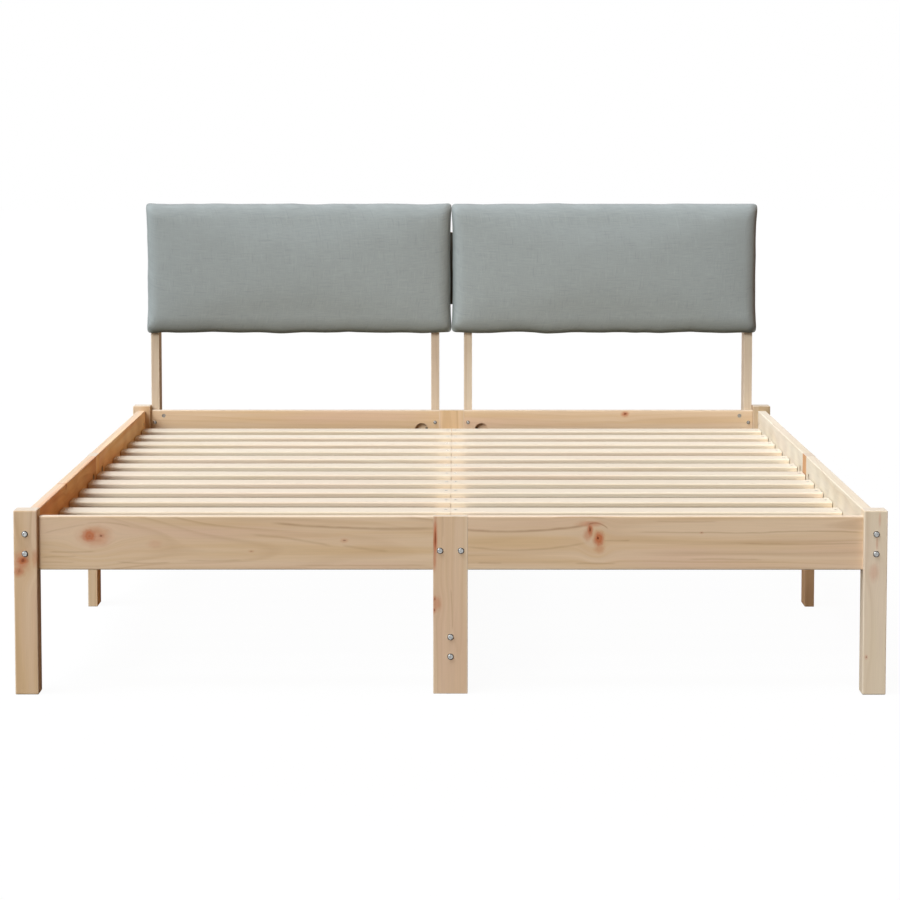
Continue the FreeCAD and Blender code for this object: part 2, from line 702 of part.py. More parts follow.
side_rail_bolts()
end_rail_bolts()
centre_bolts()
centre_studs()
fastener_group("barrel_nuts", nuts)
rail_joints()
slat_screws()
ledger_screws()
post_screws()
pad_bolts()
joining_board_screws()

corner_legs()
board_legs()
end_rails()
side_rails()
centre_beam()
ledgers()
slat_rows()
posts()
pads()
joining_board()

doc.recompute()
check_document()
os.makedirs("parts", exist_ok=True)
for piece, solids in nodes:
    piece.Shape.exportStep(f"parts/{piece.Label}.step")
print(f"{len(nodes)} nodes written")
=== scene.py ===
"""Looks of a pine double bed frame with a two-pad headboard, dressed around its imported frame.

Everything is in metres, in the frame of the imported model: X runs across the bed, Y from the foot
to the head and Z up from the floor.
"""

import logging
import math
import random
from dataclasses import dataclass, field, replace
from enum import Enum
from typing import Optional, Sequence, Union

import bmesh
import bpy
import numpy as np
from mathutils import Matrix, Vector, noise

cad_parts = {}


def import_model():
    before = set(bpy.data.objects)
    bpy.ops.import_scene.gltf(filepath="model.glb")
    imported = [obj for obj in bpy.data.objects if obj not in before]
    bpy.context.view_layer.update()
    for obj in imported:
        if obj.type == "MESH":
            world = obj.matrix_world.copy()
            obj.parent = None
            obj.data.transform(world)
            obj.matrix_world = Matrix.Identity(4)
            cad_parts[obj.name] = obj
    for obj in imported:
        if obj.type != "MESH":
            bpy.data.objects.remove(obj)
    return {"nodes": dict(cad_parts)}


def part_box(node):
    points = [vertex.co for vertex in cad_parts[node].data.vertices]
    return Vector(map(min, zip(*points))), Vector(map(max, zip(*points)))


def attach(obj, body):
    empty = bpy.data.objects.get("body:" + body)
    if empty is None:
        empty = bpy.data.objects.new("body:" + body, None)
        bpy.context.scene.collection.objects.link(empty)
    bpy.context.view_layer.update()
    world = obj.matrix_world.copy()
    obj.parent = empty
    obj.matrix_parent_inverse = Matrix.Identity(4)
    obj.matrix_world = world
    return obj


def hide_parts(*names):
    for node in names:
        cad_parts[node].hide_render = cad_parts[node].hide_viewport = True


LOG = logging.getLogger("bed")
BODY = "root"
MM = 0.001

Colour = tuple[float, float, float, float]
Shade = tuple[int, int, int]
Socket = bpy.types.NodeSocket
Feed = Union[float, Sequence[float], Socket]


def srgb(red: float, green: float, blue: float) -> Colour:
    """Turn a colour as it looks on screen into the linear values that a shader takes.

    Args:
        red: Red, from 0 to 255.
        green: Green, from 0 to 255.
        blue: Blue, from 0 to 255.

    Returns:
        The linear colour with full opacity.
    """

    def linear(level: float) -> float:
        """One channel as a linear value."""
        share = level / 255
        return share / 12.92 if share <= 0.04045 else ((share + 0.055) / 1.055) ** 2.4

    return linear(red), linear(green), linear(blue), 1.0


class ShaderBench:
    """Places the nodes of one shader tree and joins them."""

    def __init__(self, tree: bpy.types.NodeTree) -> None:
        """Start on a tree."""
        self.tree = tree

    def put(self, kind: str, feeds: Optional[dict] = None, **settings: object) -> bpy.types.Node:
        """Place a node.

        Args:
            kind: Blender's name for the node.
            feeds: What goes into its sockets, by socket name or number.
            **settings: The node's own options.

        Returns:
            The new node.
        """
        node = self.tree.nodes.new(kind)
        for name, value in settings.items():
            setattr(node, name, value)
        for socket, feed in (feeds or {}).items():
            self.feed(node.inputs[socket], feed)
        return node

    def feed(self, socket: Socket, feed: Feed) -> None:
        """Link a socket to another one, or set its value.

        Args:
            socket: The input socket.
            feed: An output socket, a number or several numbers.
        """
        if isinstance(feed, bpy.types.NodeSocket):
            self.tree.links.new(feed, socket)
        else:
            socket.default_value = feed

    def maths(self, operation: str, first: Feed, second: Feed = 0.0) -> Socket:
        """Work out one number from two.

        Args:
            operation: Blender's name for the operation.
            first: The first number.
            second: The second number.

        Returns:
            The result's socket.
        """
        return self.put("ShaderNodeMath", {0: first, 1: second}, operation=operation).outputs[0]

    def plus(self, first: Feed, second: Feed) -> Socket:
        """Add two numbers."""
        return self.maths("ADD", first, second)

    def times(self, first: Feed, second: Feed) -> Socket:
        """Multiply two numbers."""
        return self.maths("MULTIPLY", first, second)

    def minus(self, first: Feed, second: Feed) -> Socket:
        """Take one number from another."""
        return self.maths("SUBTRACT", first, second)

    def ratio(self, first: Feed, second: Feed) -> Socket:
        """Divide one number by another."""
        return self.maths("DIVIDE", first, second)

    def most(self, first: Feed, second: Feed) -> Socket:
        """Keep the larger of two numbers."""
        return self.maths("MAXIMUM", first, second)

    def size(self, value: Feed) -> Socket:
        """Drop a number's sign."""
        return self.maths("ABSOLUTE", value)

    def scaled(self, value: Feed, gain: Feed, start: Feed) -> Socket:
        """Multiply a number and add another."""
        return self.put("ShaderNodeMath", {0: value, 1: gain, 2: start}, operation="MULTIPLY_ADD").outputs[0]

    def fade(self, value: Feed, start: float, end: float) -> Socket:
        """Rise smoothly from 0 to 1 as a number goes from start to end.

        Args:
            value: The number.
            start: Where the rise begins.
            end: Where it is over, which may be below start.

        Returns:
            The rise's socket.
        """
        feeds = {0: value, 1: start, 2: end, 3: 0.0, 4: 1.0}
        return self.put("ShaderNodeMapRange", feeds, interpolation_type="SMOOTHSTEP").outputs[0]

    def split(self, vector: Feed) -> tuple[Socket, Socket, Socket]:
        """Take a vector apart."""
        parts = self.put("ShaderNodeSeparateXYZ", {0: vector}).outputs
        return parts[0], parts[1], parts[2]

    def join(self, first: Feed, second: Feed, third: Feed) -> Socket:
        """Make a vector of three numbers."""
        return self.put("ShaderNodeCombineXYZ", {0: first, 1: second, 2: third}).outputs[0]

    def length(self, vector: Feed) -> Socket:
        """Measure a vector."""
        return self.put("ShaderNodeVectorMath", {0: vector}, operation="LENGTH").outputs[1]

    def cloud(self, vector: Feed, detail: float = 2.0, scale: float = 1.0) -> bpy.types.Node:
        """Place soft noise, with its level in output 0 and three levels as a colour in output 1.

        Args:
            vector: Where it is read.
            detail: How many finer layers it has.
            scale: How many waves it has per unit.

        Returns:
            The noise node.
        """
        return self.put("ShaderNodeTexNoise", {"Vector": vector, "Scale": scale, "Detail": detail})

    def tint(self, base: Feed, over: Feed, share: Feed) -> Socket:
        """Mix one colour over another.

        Args:
            base: The colour below.
            over: The colour on top.
            share: How much of it covers, from 0 to 1.

        Returns:
            The mixed colour's socket.
        """
        return self.put("ShaderNodeMix", {0: share, 6: base, 7: over}, data_type="RGBA").outputs[2]

    def shade(self, colour: Feed, level: Feed) -> Socket:
        """Multiply a colour by a number."""
        return self.put("ShaderNodeVectorMath", {0: colour, "Scale": level}, operation="SCALE").outputs[0]

    def curve(self, value: Feed, stops: Sequence[tuple[float, float]]) -> Socket:
        """Read a number off a line through stops.

        Args:
            value: The number, from 0 to 1.
            stops: Pairs of a place and the level there.

        Returns:
            The level's socket.
        """
        node = self.put("ShaderNodeValToRGB", {0: value})
        band = node.color_ramp.elements
        while len(band) < len(stops):
            band.new(0.5)
        for mark, (place, level) in zip(band, stops):
            mark.position = place
            mark.color = (level, level, level, 1.0)
        return node.outputs[0]

    def stretched(self, place: Sequence[Feed], waves: tuple[float, float], shift: Feed) -> Socket:
        """Read a place on a board in waves, few along the board and many across it.

        Args:
            place: The place along, across and through the board.
            waves: The waves per metre along the board, and those across and through it.
            shift: What is added along the board, to tell boards apart.

        Returns:
            The stretched place's socket.
        """
        along, fine = waves
        return self.join(self.scaled(place[0], along, shift), self.times(place[1], fine), self.times(place[2], fine))

    def group(self, tree: bpy.types.NodeTree, feeds: dict[str, Feed]) -> dict[str, Socket]:
        """Place a node group and give its output sockets by name."""
        node = self.put("ShaderNodeGroup", feeds, node_tree=tree)
        return {socket.name: socket for socket in node.outputs}

    def coat(self, shader: bpy.types.Node, looks: dict[str, Feed], height: Feed, strength: float, depth: float) -> None:
        """Feed a shader its looks and a fine relief.

        Args:
            shader: The shader node.
            looks: What goes into its sockets, by name.
            height: The relief's height, from about 0 to 1.
            strength: How strongly the relief shows.
            depth: How deep it is.
        """
        relief = self.put("ShaderNodeBump", {"Strength": strength, "Distance": depth, "Height": height})
        for name, feed in (looks | {"Normal": relief.outputs[0]}).items():
            self.feed(shader.inputs[name], feed)


def new_material(name: str) -> tuple[bpy.types.Material, ShaderBench, bpy.types.Node]:
    """Start a material with one shader.

    Args:
        name: The material's name.

    Returns:
        The material, a bench for its nodes and its shader node.
    """
    material = bpy.data.materials.new(name)
    material.use_nodes = True
    bench = ShaderBench(material.node_tree)
    bench.tree.nodes.clear()
    shader = bench.put("ShaderNodeBsdfPrincipled")
    bench.put("ShaderNodeOutputMaterial", {"Surface": shader.outputs[0]})
    return material, bench, shader


def new_group(
    name: str, inlets: dict[str, str], outlets: dict[str, str]
) -> tuple[ShaderBench, dict[str, Socket], bpy.types.Node]:
    """Start a node group.

    Args:
        name: The group's name.
        inlets: The kind of each input, by name.
        outlets: The kind of each output, by name.

    Returns:
        A bench for the group's nodes, its input sockets by name and its output node.
    """
    tree = bpy.data.node_groups.new(name, "ShaderNodeTree")
    for side, sockets in (("INPUT", inlets), ("OUTPUT", outlets)):
        for label, kind in sockets.items():
            tree.interface.new_socket(name=label, in_out=side, socket_type=f"NodeSocket{kind}")
    bench = ShaderBench(tree)
    given = bench.put("NodeGroupInput").outputs
    return bench, {label: given[label] for label in inlets}, bench.put("NodeGroupOutput")


class Grain(Enum):
    """How a board lies: its axes along the length, across the width and through the depth."""

    ACROSS_ON_EDGE = "XZY"
    ACROSS_FLAT = "XYZ"
    ALONG_ON_EDGE = "YZX"
    ALONG_FLAT = "YXZ"
    UPRIGHT_WIDE = "ZXY"
    UPRIGHT_DEEP = "ZYX"


@dataclass(frozen=True)
class Knot:
    """A knot or a red resin streak in a board.

    along and across are its place on the board's own axes. long and wide are half its length and
    width, heart is how dark its middle is and red is how strongly it colours the wood round it.
    """

    along: float
    across: float
    long: float
    wide: float
    heart: float = 1.0
    red: float = 0.75


@dataclass(frozen=True)
class GrainLine:
    """A growth line that stands out: where it starts and ends along a board, and its height.

    heights are its places across the board at its start, midway and at its end.
    """

    start: float
    end: float
    heights: tuple[float, float, float]
    dark: float
    width: float = 2.6 * MM


@dataclass(frozen=True)
class PineTone:
    """The colours of planed, unvarnished pine.

    line_share, edge_share and rub_share are how strongly its late wood, its paler long edges and the painted highlight
    on its upper side show.
    """

    early: Colour
    warm: Colour
    rosy: Colour
    late: Colour
    ring_gap: float
    line_share: float
    edge_share: float = 0.5
    # painted highlight: how strongly faces turned upwards are tinted paler and greyer
    rub_share: float = 0.6


@dataclass(frozen=True)
class Board:
    """One wooden node: how it lies, what it is cut from, its knots and its strongest lines.

    Its second tone is painted shade and warm bounce light: a warmer orange on the side with the higher depth, which
    faces away from the lamps, from a start given as a share of half the depth.
    """

    node: str
    grain: Grain
    tone: PineTone
    knots: tuple[Knot, ...] = ()
    lines: tuple[GrainLine, ...] = ()
    shade_side_tone: Optional[PineTone] = None
    shade_side_start: float = -0.2


def pine(
    early: Shade, warm: Shade, rosy: Shade, late: Shade, ring_gap: float, line_share: float, **shares: float
) -> PineTone:
    """Name a tone by its colours on screen.

    Args:
        early: The pale early wood.
        warm: The streaks in it.
        rosy: The blush over it.
        late: The dark late wood.
        ring_gap: The gap between two growth rings, in millimetres.
        line_share: How strongly the late wood shows.
        **shares: The edge and top-light shares, where they differ from the usual ones. The top-light share is a painted
                  highlight.

    Returns:
        The tone.
    """
    return PineTone(srgb(*early), srgb(*warm), srgb(*rosy), srgb(*late), ring_gap * MM, line_share, **shares)


FRAME_PINE = pine((221, 196, 166), (212, 182, 143), (217, 186, 160), (178, 141, 104), 9.5, 0.45)
PLAIN_PINE = replace(FRAME_PINE, line_share=0.18)
# less of the painted highlight on faces turned upwards
LESS_TOP_LIGHT_PINE = replace(FRAME_PINE, rub_share=0.3)
# painted shade: a darker copy of the frame's pine for a leg that stands in shade
SHADED_TAN_PINE = pine((192, 173, 145), (184, 161, 125), (189, 164, 140), (155, 125, 91), 9.5, 0.4, edge_share=0.2)
# painted light: a paler copy for a leg whose sides face the key lamp
LIT_PALE_PINE = pine((224, 210, 186), (219, 203, 176), (221, 203, 182), (196, 170, 140), 9.0, 0.4)
# painted light: a paler copy for the side rails whose inner faces face the key lamp
LIT_CREAM_PINE = pine(
    (221, 213, 195), (217, 206, 184), (218, 206, 189), (199, 179, 152), 9.0, 0.35, edge_share=0.0, rub_share=0.15
)
POST_PINE = pine((211, 196, 175), (206, 188, 162), (208, 188, 168), (183, 158, 130), 9.0, 0.4)
# Painted shade and warm bounce light for inner sides that face away from the lamps.
SHADE_HONEY_PINE = pine((243, 198, 138), (237, 178, 112), (232, 161, 110), (200, 130, 76), 10.0, 0.5, edge_share=0.2)
SHADE_ORANGE_PINE = pine((230, 180, 121), (224, 161, 98), (220, 146, 96), (189, 117, 66), 10.0, 0.5, edge_share=0.2)
SHADE_STRAW_PINE = pine((250, 214, 160), (246, 196, 132), (242, 178, 129), (211, 144, 90), 10.0, 0.5, edge_share=0.2)
# painted shade: a darker copy for the middle leg in the deck's shade
SHADED_AMBER_PINE = pine((208, 168, 128), (199, 155, 111), (199, 150, 112), (164, 122, 85), 9.0, 0.4, edge_share=0.1)
# painted shade: a near-black tone for the board seen only deep in the gap between the pads
SHADE_DARK_PINE = pine((104, 106, 99), (94, 95, 87), (97, 93, 87), (70, 68, 63), 9.0, 0.4, edge_share=0.1)
SLAT_PINE = pine((225, 213, 191), (220, 204, 178), (224, 205, 184), (203, 176, 144), 7.0, 0.35)


@dataclass
class PineFinish:
    """Planed pine with growth rings, fibres, knots, end grain, paler long edges and a painted highlight on faces turned
    upwards.

    Each pair of waves is a count per metre along a board and one across it. The other pairs are
    where a feature begins to show and where it shows in full, and a share is how strongly it covers.
    """

    halo: Colour = srgb(192, 112, 74)
    heart: Colour = srgb(112, 58, 38)
    streak: Colour = srgb(146, 102, 70)
    # a paler tint along the long edges of a board
    pale_edge_tint: Colour = srgb(232, 218, 198)
    # painted highlight: the paler, greyer tint of faces turned upwards
    top_light_tint: Colour = srgb(215, 208, 194)
    end_grain: Colour = srgb(216, 203, 185)
    edge_band: float = 3.5 * MM
    end_band: tuple[float, float] = (0.6, 0.9)
    end_share: float = 0.7
    upper_band: tuple[float, float] = (0.7, 0.98)
    specular: float = 0.05
    fibre_waves: tuple[float, float] = (14.0, 620.0)
    streak_waves: tuple[float, float] = (1.4, 34.0)
    streak_band: tuple[float, float] = (0.36, 0.68)
    blush_waves: tuple[float, float] = (2.1, 15.0)
    blush_band: tuple[float, float] = (0.42, 0.72)
    blush_share: float = 0.8
    drift_waves: tuple[float, float] = (1.3, 6.0)
    ring_drift: float = 50.0 * MM
    ring_profile: tuple[tuple[float, float], ...] = ((0.0, 0.0), (0.5, 0.12), (0.84, 1.0), (0.92, 0.7), (1.0, 0.0))
    line_waves: float = 17.0
    line_sway: float = 4.0 * MM
    line_fade: float = 0.14
    line_gaps: tuple[float, float] = (0.2, 0.6)
    knot_ragged: float = 0.6
    knot_rings: float = 22.0
    knot_halo: tuple[float, float] = (1.15, 0.25)
    knot_heart: tuple[float, float] = (0.34, 0.10)
    knot_bend: float = 0.72
    # painted shade on a board's far side: where it shows in full, as a share of half the depth
    shade_side_end: float = 0.96
    seeds: float = 60.0
    other_half: float = 3.1
    relief: float = 0.25 * MM
    grain_group: Optional[bpy.types.NodeTree] = None
    knot_group: Optional[bpy.types.NodeTree] = None
    line_group: Optional[bpy.types.NodeTree] = None

    def make_line_group(self) -> bpy.types.NodeTree:
        """Make the nodes of one growth line, a shallow curve that fades out at both ends.

        Returns:
            The node group.
        """
        numbers = ("Start", "Span", "Bend", "Slope", "Height", "Width")
        inlets = {"Place": "Vector"} | dict.fromkeys(numbers, "Float")
        bench, given, out = new_group("pine_line", inlets, {"Line": "Float"})
        along, across, _ = bench.split(given["Place"])
        run = bench.ratio(bench.minus(along, given["Start"]), given["Span"])
        climb = bench.plus(bench.times(run, given["Bend"]), given["Slope"])
        height = bench.plus(bench.times(run, climb), given["Height"])
        wander_at = bench.join(bench.scaled(along, self.line_waves, given["Height"]), given["Start"], 0.0)
        wander = bench.cloud(wander_at).outputs[0]
        sway = bench.scaled(wander, self.line_sway, -self.line_sway / 2)
        off = bench.size(bench.minus(sway, bench.minus(across, height)))
        near = bench.fade(bench.ratio(off, given["Width"]), 1.0, 0.0)
        ends = bench.times(bench.fade(run, 0.0, self.line_fade), bench.fade(run, 1.0, 1.0 - self.line_fade))
        patchy = bench.scaled(bench.fade(wander, *self.line_gaps), 0.5, 0.5)
        bench.feed(out.inputs["Line"], bench.times(bench.times(near, ends), patchy))
        return bench.tree

    def make_knot_group(self) -> bpy.types.NodeTree:
        """Make the nodes of one knot, which bend the grain round it.

        Returns:
            The node group.
        """
        inlets = {"Grain": "Vector", "Place": "Vector"} | dict.fromkeys(("Along", "Across", "Long", "Wide"), "Float")
        outlets = {"Grain": "Vector", "Halo": "Float", "Heart": "Float"}
        bench, given, out = new_group("pine_knot", inlets, outlets)
        along, across, _ = bench.split(given["Place"])
        grain = bench.split(given["Grain"])
        off = bench.minus(across, given["Across"])
        far = bench.ratio(bench.minus(along, given["Along"]), given["Long"])
        wide = bench.ratio(off, given["Wide"])
        ragged = bench.cloud(bench.join(far, wide, given["Along"]), detail=3.0, scale=1.7).outputs[0]
        reach = bench.length(bench.join(far, wide, 0.0))
        ragged_reach = bench.plus(reach, bench.scaled(ragged, self.knot_ragged, -self.knot_ragged / 2))
        rings = bench.maths("SINE", bench.times(ragged_reach, self.knot_rings))
        halo = bench.fade(ragged_reach, *self.knot_halo)
        ringed = bench.times(halo, bench.scaled(rings, 0.05, 0.95))
        heart = bench.fade(ragged_reach, *self.knot_heart)
        push = bench.maths("EXPONENT", bench.times(bench.times(reach, reach), -0.32))
        bent = bench.minus(grain[1], bench.times(off, bench.times(push, self.knot_bend)))
        bench.feed(out.inputs["Grain"], bench.join(grain[0], bent, grain[2]))
        bench.feed(out.inputs["Halo"], ringed)
        bench.feed(out.inputs["Heart"], heart)
        return bench.tree

    def make_grain_group(self) -> bpy.types.NodeTree:
        """Make the nodes that grow a board's rings and give its colour, height and roughness.

        Returns:
            The node group.
        """
        numbers = (
            "Facing", "Upward", "Seed", "PithAcross", "PithDeep", "LeanAcross", "LeanDeep", "RingGap", "HalfAcross",
            "HalfDeep", "LineShare", "EdgeShare", "TopLightShare", "Halo", "Heart", "Line",
        )
        inlets = {"Grain": "Vector"} | dict.fromkeys(numbers, "Float")
        inlets |= dict.fromkeys(("Early", "Warm", "Rosy", "Late"), "Color")
        outlets = {"Colour": "Color", "Height": "Float", "Roughness": "Float"}
        bench, given, out = new_group("pine_grain", inlets, outlets)
        seed = given["Seed"]
        place = bench.split(given["Grain"])
        line = self.ring_lines(bench, given, place)
        fibre = bench.cloud(bench.stretched(place, self.fibre_waves, seed), detail=3.0).outputs[0]
        streaks = bench.cloud(bench.stretched(place, self.streak_waves, seed)).outputs[0]
        blush_at = bench.stretched(place, self.blush_waves, bench.times(seed, 1.7))
        streak = bench.fade(streaks, *self.streak_band)
        blush = bench.fade(bench.cloud(blush_at).outputs[0], *self.blush_band)
        colour = bench.tint(given["Early"], given["Warm"], streak)
        colour = bench.tint(colour, given["Rosy"], bench.times(blush, self.blush_share))
        colour = bench.tint(colour, given["Late"], bench.times(line, given["LineShare"]))
        colour = bench.tint(colour, self.streak, given["Line"])
        colour = bench.tint(colour, self.halo, given["Halo"])
        colour = bench.tint(colour, self.heart, given["Heart"])
        edge = self.edge_mask(bench, given, place)
        end = bench.fade(given["Facing"], *self.end_band)
        colour = bench.tint(colour, self.end_grain, bench.times(end, self.end_share))
        # Painted highlight: faces turned upwards are tinted paler and greyer, the way strong light from above shows
        # them.
        upper = bench.fade(given["Upward"], *self.upper_band)
        colour = bench.tint(colour, self.top_light_tint, bench.times(upper, given["TopLightShare"]))
        # A paler tint along the long edges.
        colour = bench.tint(colour, self.pale_edge_tint, bench.times(edge, given["EdgeShare"]))
        level = bench.times(bench.scaled(fibre, 0.16, 0.92), bench.scaled(end, -0.05, 1.0))
        bench.feed(out.inputs["Colour"], bench.shade(colour, level))
        bench.feed(out.inputs["Height"], bench.plus(bench.times(line, 0.45), bench.times(fibre, 0.55)))
        rough = bench.plus(bench.scaled(fibre, 0.2, 0.74), bench.times(end, 0.06))
        bench.feed(out.inputs["Roughness"], rough)
        return bench.tree

    def ring_lines(self, bench: ShaderBench, given: dict[str, Socket], place: Sequence[Socket]) -> Socket:
        """Cut through the trunk's growth rings.

        Args:
            bench: The group's bench.
            given: The group's input sockets.
            place: The place along, across and through the board.

        Returns:
            How dark the ring's late wood is, from 0 to 1.
        """
        seed, along = given["Seed"], place[0]
        drift = bench.split(bench.cloud(bench.stretched(place, self.drift_waves, seed)).outputs[1])
        from_pith = []
        for side, label in ((1, "Across"), (2, "Deep")):
            lean = bench.times(along, given[f"Lean{label}"])
            straight = bench.plus(bench.minus(place[side], given[f"Pith{label}"]), lean)
            wander = bench.scaled(drift[side - 1], self.ring_drift, -self.ring_drift / 2)
            from_pith.append(bench.plus(straight, wander))
        radius = bench.length(bench.join(*from_pith, 0.0))
        ring = bench.ratio(radius, given["RingGap"])
        uneven_at = bench.join(bench.times(ring, 0.45), bench.times(along, 0.8), seed)
        uneven = bench.cloud(uneven_at).outputs[0]
        phase = bench.maths("FRACT", bench.plus(ring, bench.times(uneven, 2.2)))
        line = bench.curve(phase, self.ring_profile)
        strong_at = bench.join(bench.times(ring, 0.6), bench.scaled(along, 1.8, 3.0), seed)
        strong = bench.fade(bench.cloud(strong_at).outputs[0], 0.34, 0.7)
        return bench.times(line, bench.scaled(strong, 0.85, 0.15))

    def edge_mask(self, bench: ShaderBench, given: dict[str, Socket], place: Sequence[Socket]) -> Socket:
        """Find the long edges of a board.

        Args:
            bench: The group's bench.
            given: The group's input sockets.
            place: The place along, across and through the board.

        Returns:
            1 on an edge and 0 on the flats.
        """
        near = []
        for spot, half in zip(place[1:], ("HalfAcross", "HalfDeep")):
            inside = bench.minus(given[half], bench.size(spot))
            near.append(bench.fade(inside, self.edge_band, 0.0))
        return bench.times(*near)

    def material(self, board: Board) -> bpy.types.Material:
        """Make the material of one board, with its own cut through its own trunk.

        Args:
            board: The board.

        Returns:
            The material.
        """
        if self.grain_group is None:
            self.grain_group = self.make_grain_group()
            self.knot_group = self.make_knot_group()
            self.line_group = self.make_line_group()
        order = ["XYZ".index(axis) for axis in board.grain.value]
        low, high = ([corner[axis] for axis in order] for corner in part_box(board.node))
        middle = [(first + last) / 2 for first, last in zip(low, high)]
        half = [(last - first) / 2 for first, last in zip(low, high)]
        material, bench, shader = new_material(f"pine_{board.node}")
        spot = bench.put("ShaderNodeTexCoord")
        place, facing = bench.split(spot.outputs["Object"]), bench.split(spot.outputs["Normal"])
        local = [bench.minus(place[axis], centre) for axis, centre in zip(order, middle)]
        if board.node.startswith("slat_row"):
            other_half = bench.maths("GREATER_THAN", place[0], 0.0)
            local[0] = bench.plus(local[0], bench.times(other_half, self.other_half))
        feeds = {"Facing": bench.size(facing[order[0]]), "Upward": facing[2]}
        feeds |= self.marks(bench, board, bench.join(*local), middle)
        feeds |= self.cut(board, half) | self.colours(bench, board, local[2], half[2])
        wood = bench.group(self.grain_group, feeds)
        looks = {"Base Color": wood["Colour"], "Roughness": wood["Roughness"], "Specular IOR Level": self.specular}
        bench.coat(shader, looks, wood["Height"], 0.35, self.relief)
        return material

    def marks(self, bench: ShaderBench, board: Board, place: Socket, middle: Sequence[float]) -> dict[str, Feed]:
        """Put a board's knots and its strongest lines on it.

        Args:
            bench: The material's bench.
            board: The board.
            place: The place from the board's middle, on its own axes.
            middle: The board's middle on those axes.

        Returns:
            The grain as it bends round the knots, and how strongly halos, hearts and lines show.
        """
        grain = place
        halo = heart = line = 0.0
        for knot in board.knots:
            feeds = {"Grain": grain, "Place": place, "Along": knot.along - middle[0],
                     "Across": knot.across - middle[1], "Long": knot.long, "Wide": knot.wide}
            mark = bench.group(self.knot_group, feeds)
            grain = mark["Grain"]
            halo = bench.most(halo, bench.times(mark["Halo"], knot.red))
            heart = bench.most(heart, bench.times(mark["Heart"], knot.heart))
        for streak in board.lines:
            first, midway, last = streak.heights
            feeds = {"Place": place, "Start": streak.start - middle[0], "Span": streak.end - streak.start,
                     "Bend": 2 * first - 4 * midway + 2 * last, "Slope": 4 * midway - 3 * first - last,
                     "Height": first - middle[1], "Width": streak.width}
            mark = bench.group(self.line_group, feeds)
            line = bench.most(line, bench.times(mark["Line"], streak.dark))
        return {"Grain": grain, "Halo": halo, "Heart": heart, "Line": line}

    def cut(self, board: Board, half: Sequence[float]) -> dict[str, float]:
        """Draw how a board was cut from its trunk, the same way on every run.

        Args:
            board: The board.
            half: Half its length, width and depth.

        Returns:
            The cut's numbers, by input of the grain's group.
        """
        draw = random.Random(board.node)
        side = draw.choice((-1, 1))
        return {
            "Seed": draw.uniform(0, self.seeds),
            "PithAcross": draw.uniform(-0.6, 0.6) * half[1],
            "PithDeep": side * draw.uniform(0.03, 0.09),
            "LeanAcross": draw.uniform(-0.012, 0.012),
            "LeanDeep": draw.uniform(-0.03, 0.03),
            "RingGap": board.tone.ring_gap * draw.uniform(0.8, 1.2),
            "HalfAcross": half[1],
            "HalfDeep": half[2],
            "LineShare": board.tone.line_share,
            "EdgeShare": board.tone.edge_share,
            "TopLightShare": board.tone.rub_share,
        }

    def colours(self, bench: ShaderBench, board: Board, deep: Socket, half_depth: float) -> dict[str, Feed]:
        """Pick a board's colours, with any painted shade and warm bounce light on the side with the higher depth.

        Args:
            bench: The material's bench.
            board: The board.
            deep: The place through the board, from its middle.
            half_depth: Half its depth.

        Returns:
            The colours, by input of the grain's group.
        """
        found: dict[str, Feed] = {}
        for label in ("early", "warm", "rosy", "late"):
            colour: Feed = getattr(board.tone, label)
            # Painted shade and warm bounce light: the side with the higher depth turns to a warmer orange tone.
            if board.shade_side_tone is not None:
                inner = bench.fade(deep, board.shade_side_start * half_depth, self.shade_side_end * half_depth)
                colour = bench.tint(colour, getattr(board.shade_side_tone, label), inner)
            found[label.title()] = colour
        return found


@dataclass(frozen=True)
class ZincFinish:
    """Bright zinc plating on bolts, nuts and screws."""

    bright: Colour = srgb(186, 186, 184)
    dull: Colour = srgb(132, 133, 134)
    # painted dark reflection and shade on the rounded part of a head
    rim: Colour = srgb(40, 40, 42)

    def material(self) -> bpy.types.Material:
        """Make the plating, bright and dull in patches, with a painted dark reflection and shade where a head rounds
        off.

        Returns:
            The material.
        """
        material, bench, shader = new_material("zinc_plated_steel")
        coords = bench.put("ShaderNodeTexCoord")
        spot = coords.outputs["Object"]
        patch = bench.cloud(spot, detail=4.0, scale=420.0).outputs[0]
        scratch = bench.cloud(spot, detail=2.0, scale=2600.0).outputs[0]
        ways = [bench.size(way) for way in bench.split(coords.outputs["Normal"])]
        flat = bench.most(bench.most(*ways[:2]), ways[2])
        colour = bench.tint(self.bright, self.dull, bench.fade(patch, 0.4, 0.7))
        # Painted reflection and shade: faces turned away from the main axes are darkened, where a rounded head would
        # reflect dark surroundings.
        colour = bench.tint(colour, self.rim, bench.fade(flat, 0.98, 0.84))
        looks = {"Base Color": colour, "Roughness": bench.scaled(patch, 0.25, 0.16), "Metallic": 1.0}
        bench.coat(shader, looks, scratch, 0.2, 0.05 * MM)
        return material


@dataclass(frozen=True)
class ChipFinish:
    """Raw chipboard, as on the back of an upholstered panel."""

    pale: Colour = srgb(206, 178, 138)
    dark: Colour = srgb(150, 116, 80)

    def material(self) -> bpy.types.Material:
        """Make the board of pressed wood chips.

        Returns:
            The material.
        """
        material, bench, shader = new_material("raw_chipboard")
        spot = bench.put("ShaderNodeTexCoord").outputs["Object"]
        x, y, z = bench.split(spot)
        spread = bench.join(bench.times(x, 0.45), y, z)
        chips = bench.put("ShaderNodeTexVoronoi", {"Vector": spread, "Scale": 260.0, "Randomness": 1.0})
        chip_tone = bench.split(chips.outputs["Color"])[0]
        dust = bench.cloud(spot, detail=4.0, scale=900.0).outputs[0]
        colour = bench.tint(self.pale, self.dark, bench.times(chip_tone, 0.7))
        colour = bench.shade(colour, bench.scaled(dust, 0.3, 0.85))
        looks = {"Base Color": colour, "Roughness": bench.scaled(dust, 0.2, 0.65)}
        bench.coat(shader, looks, chip_tone, 0.4, 0.3 * MM)
        return material


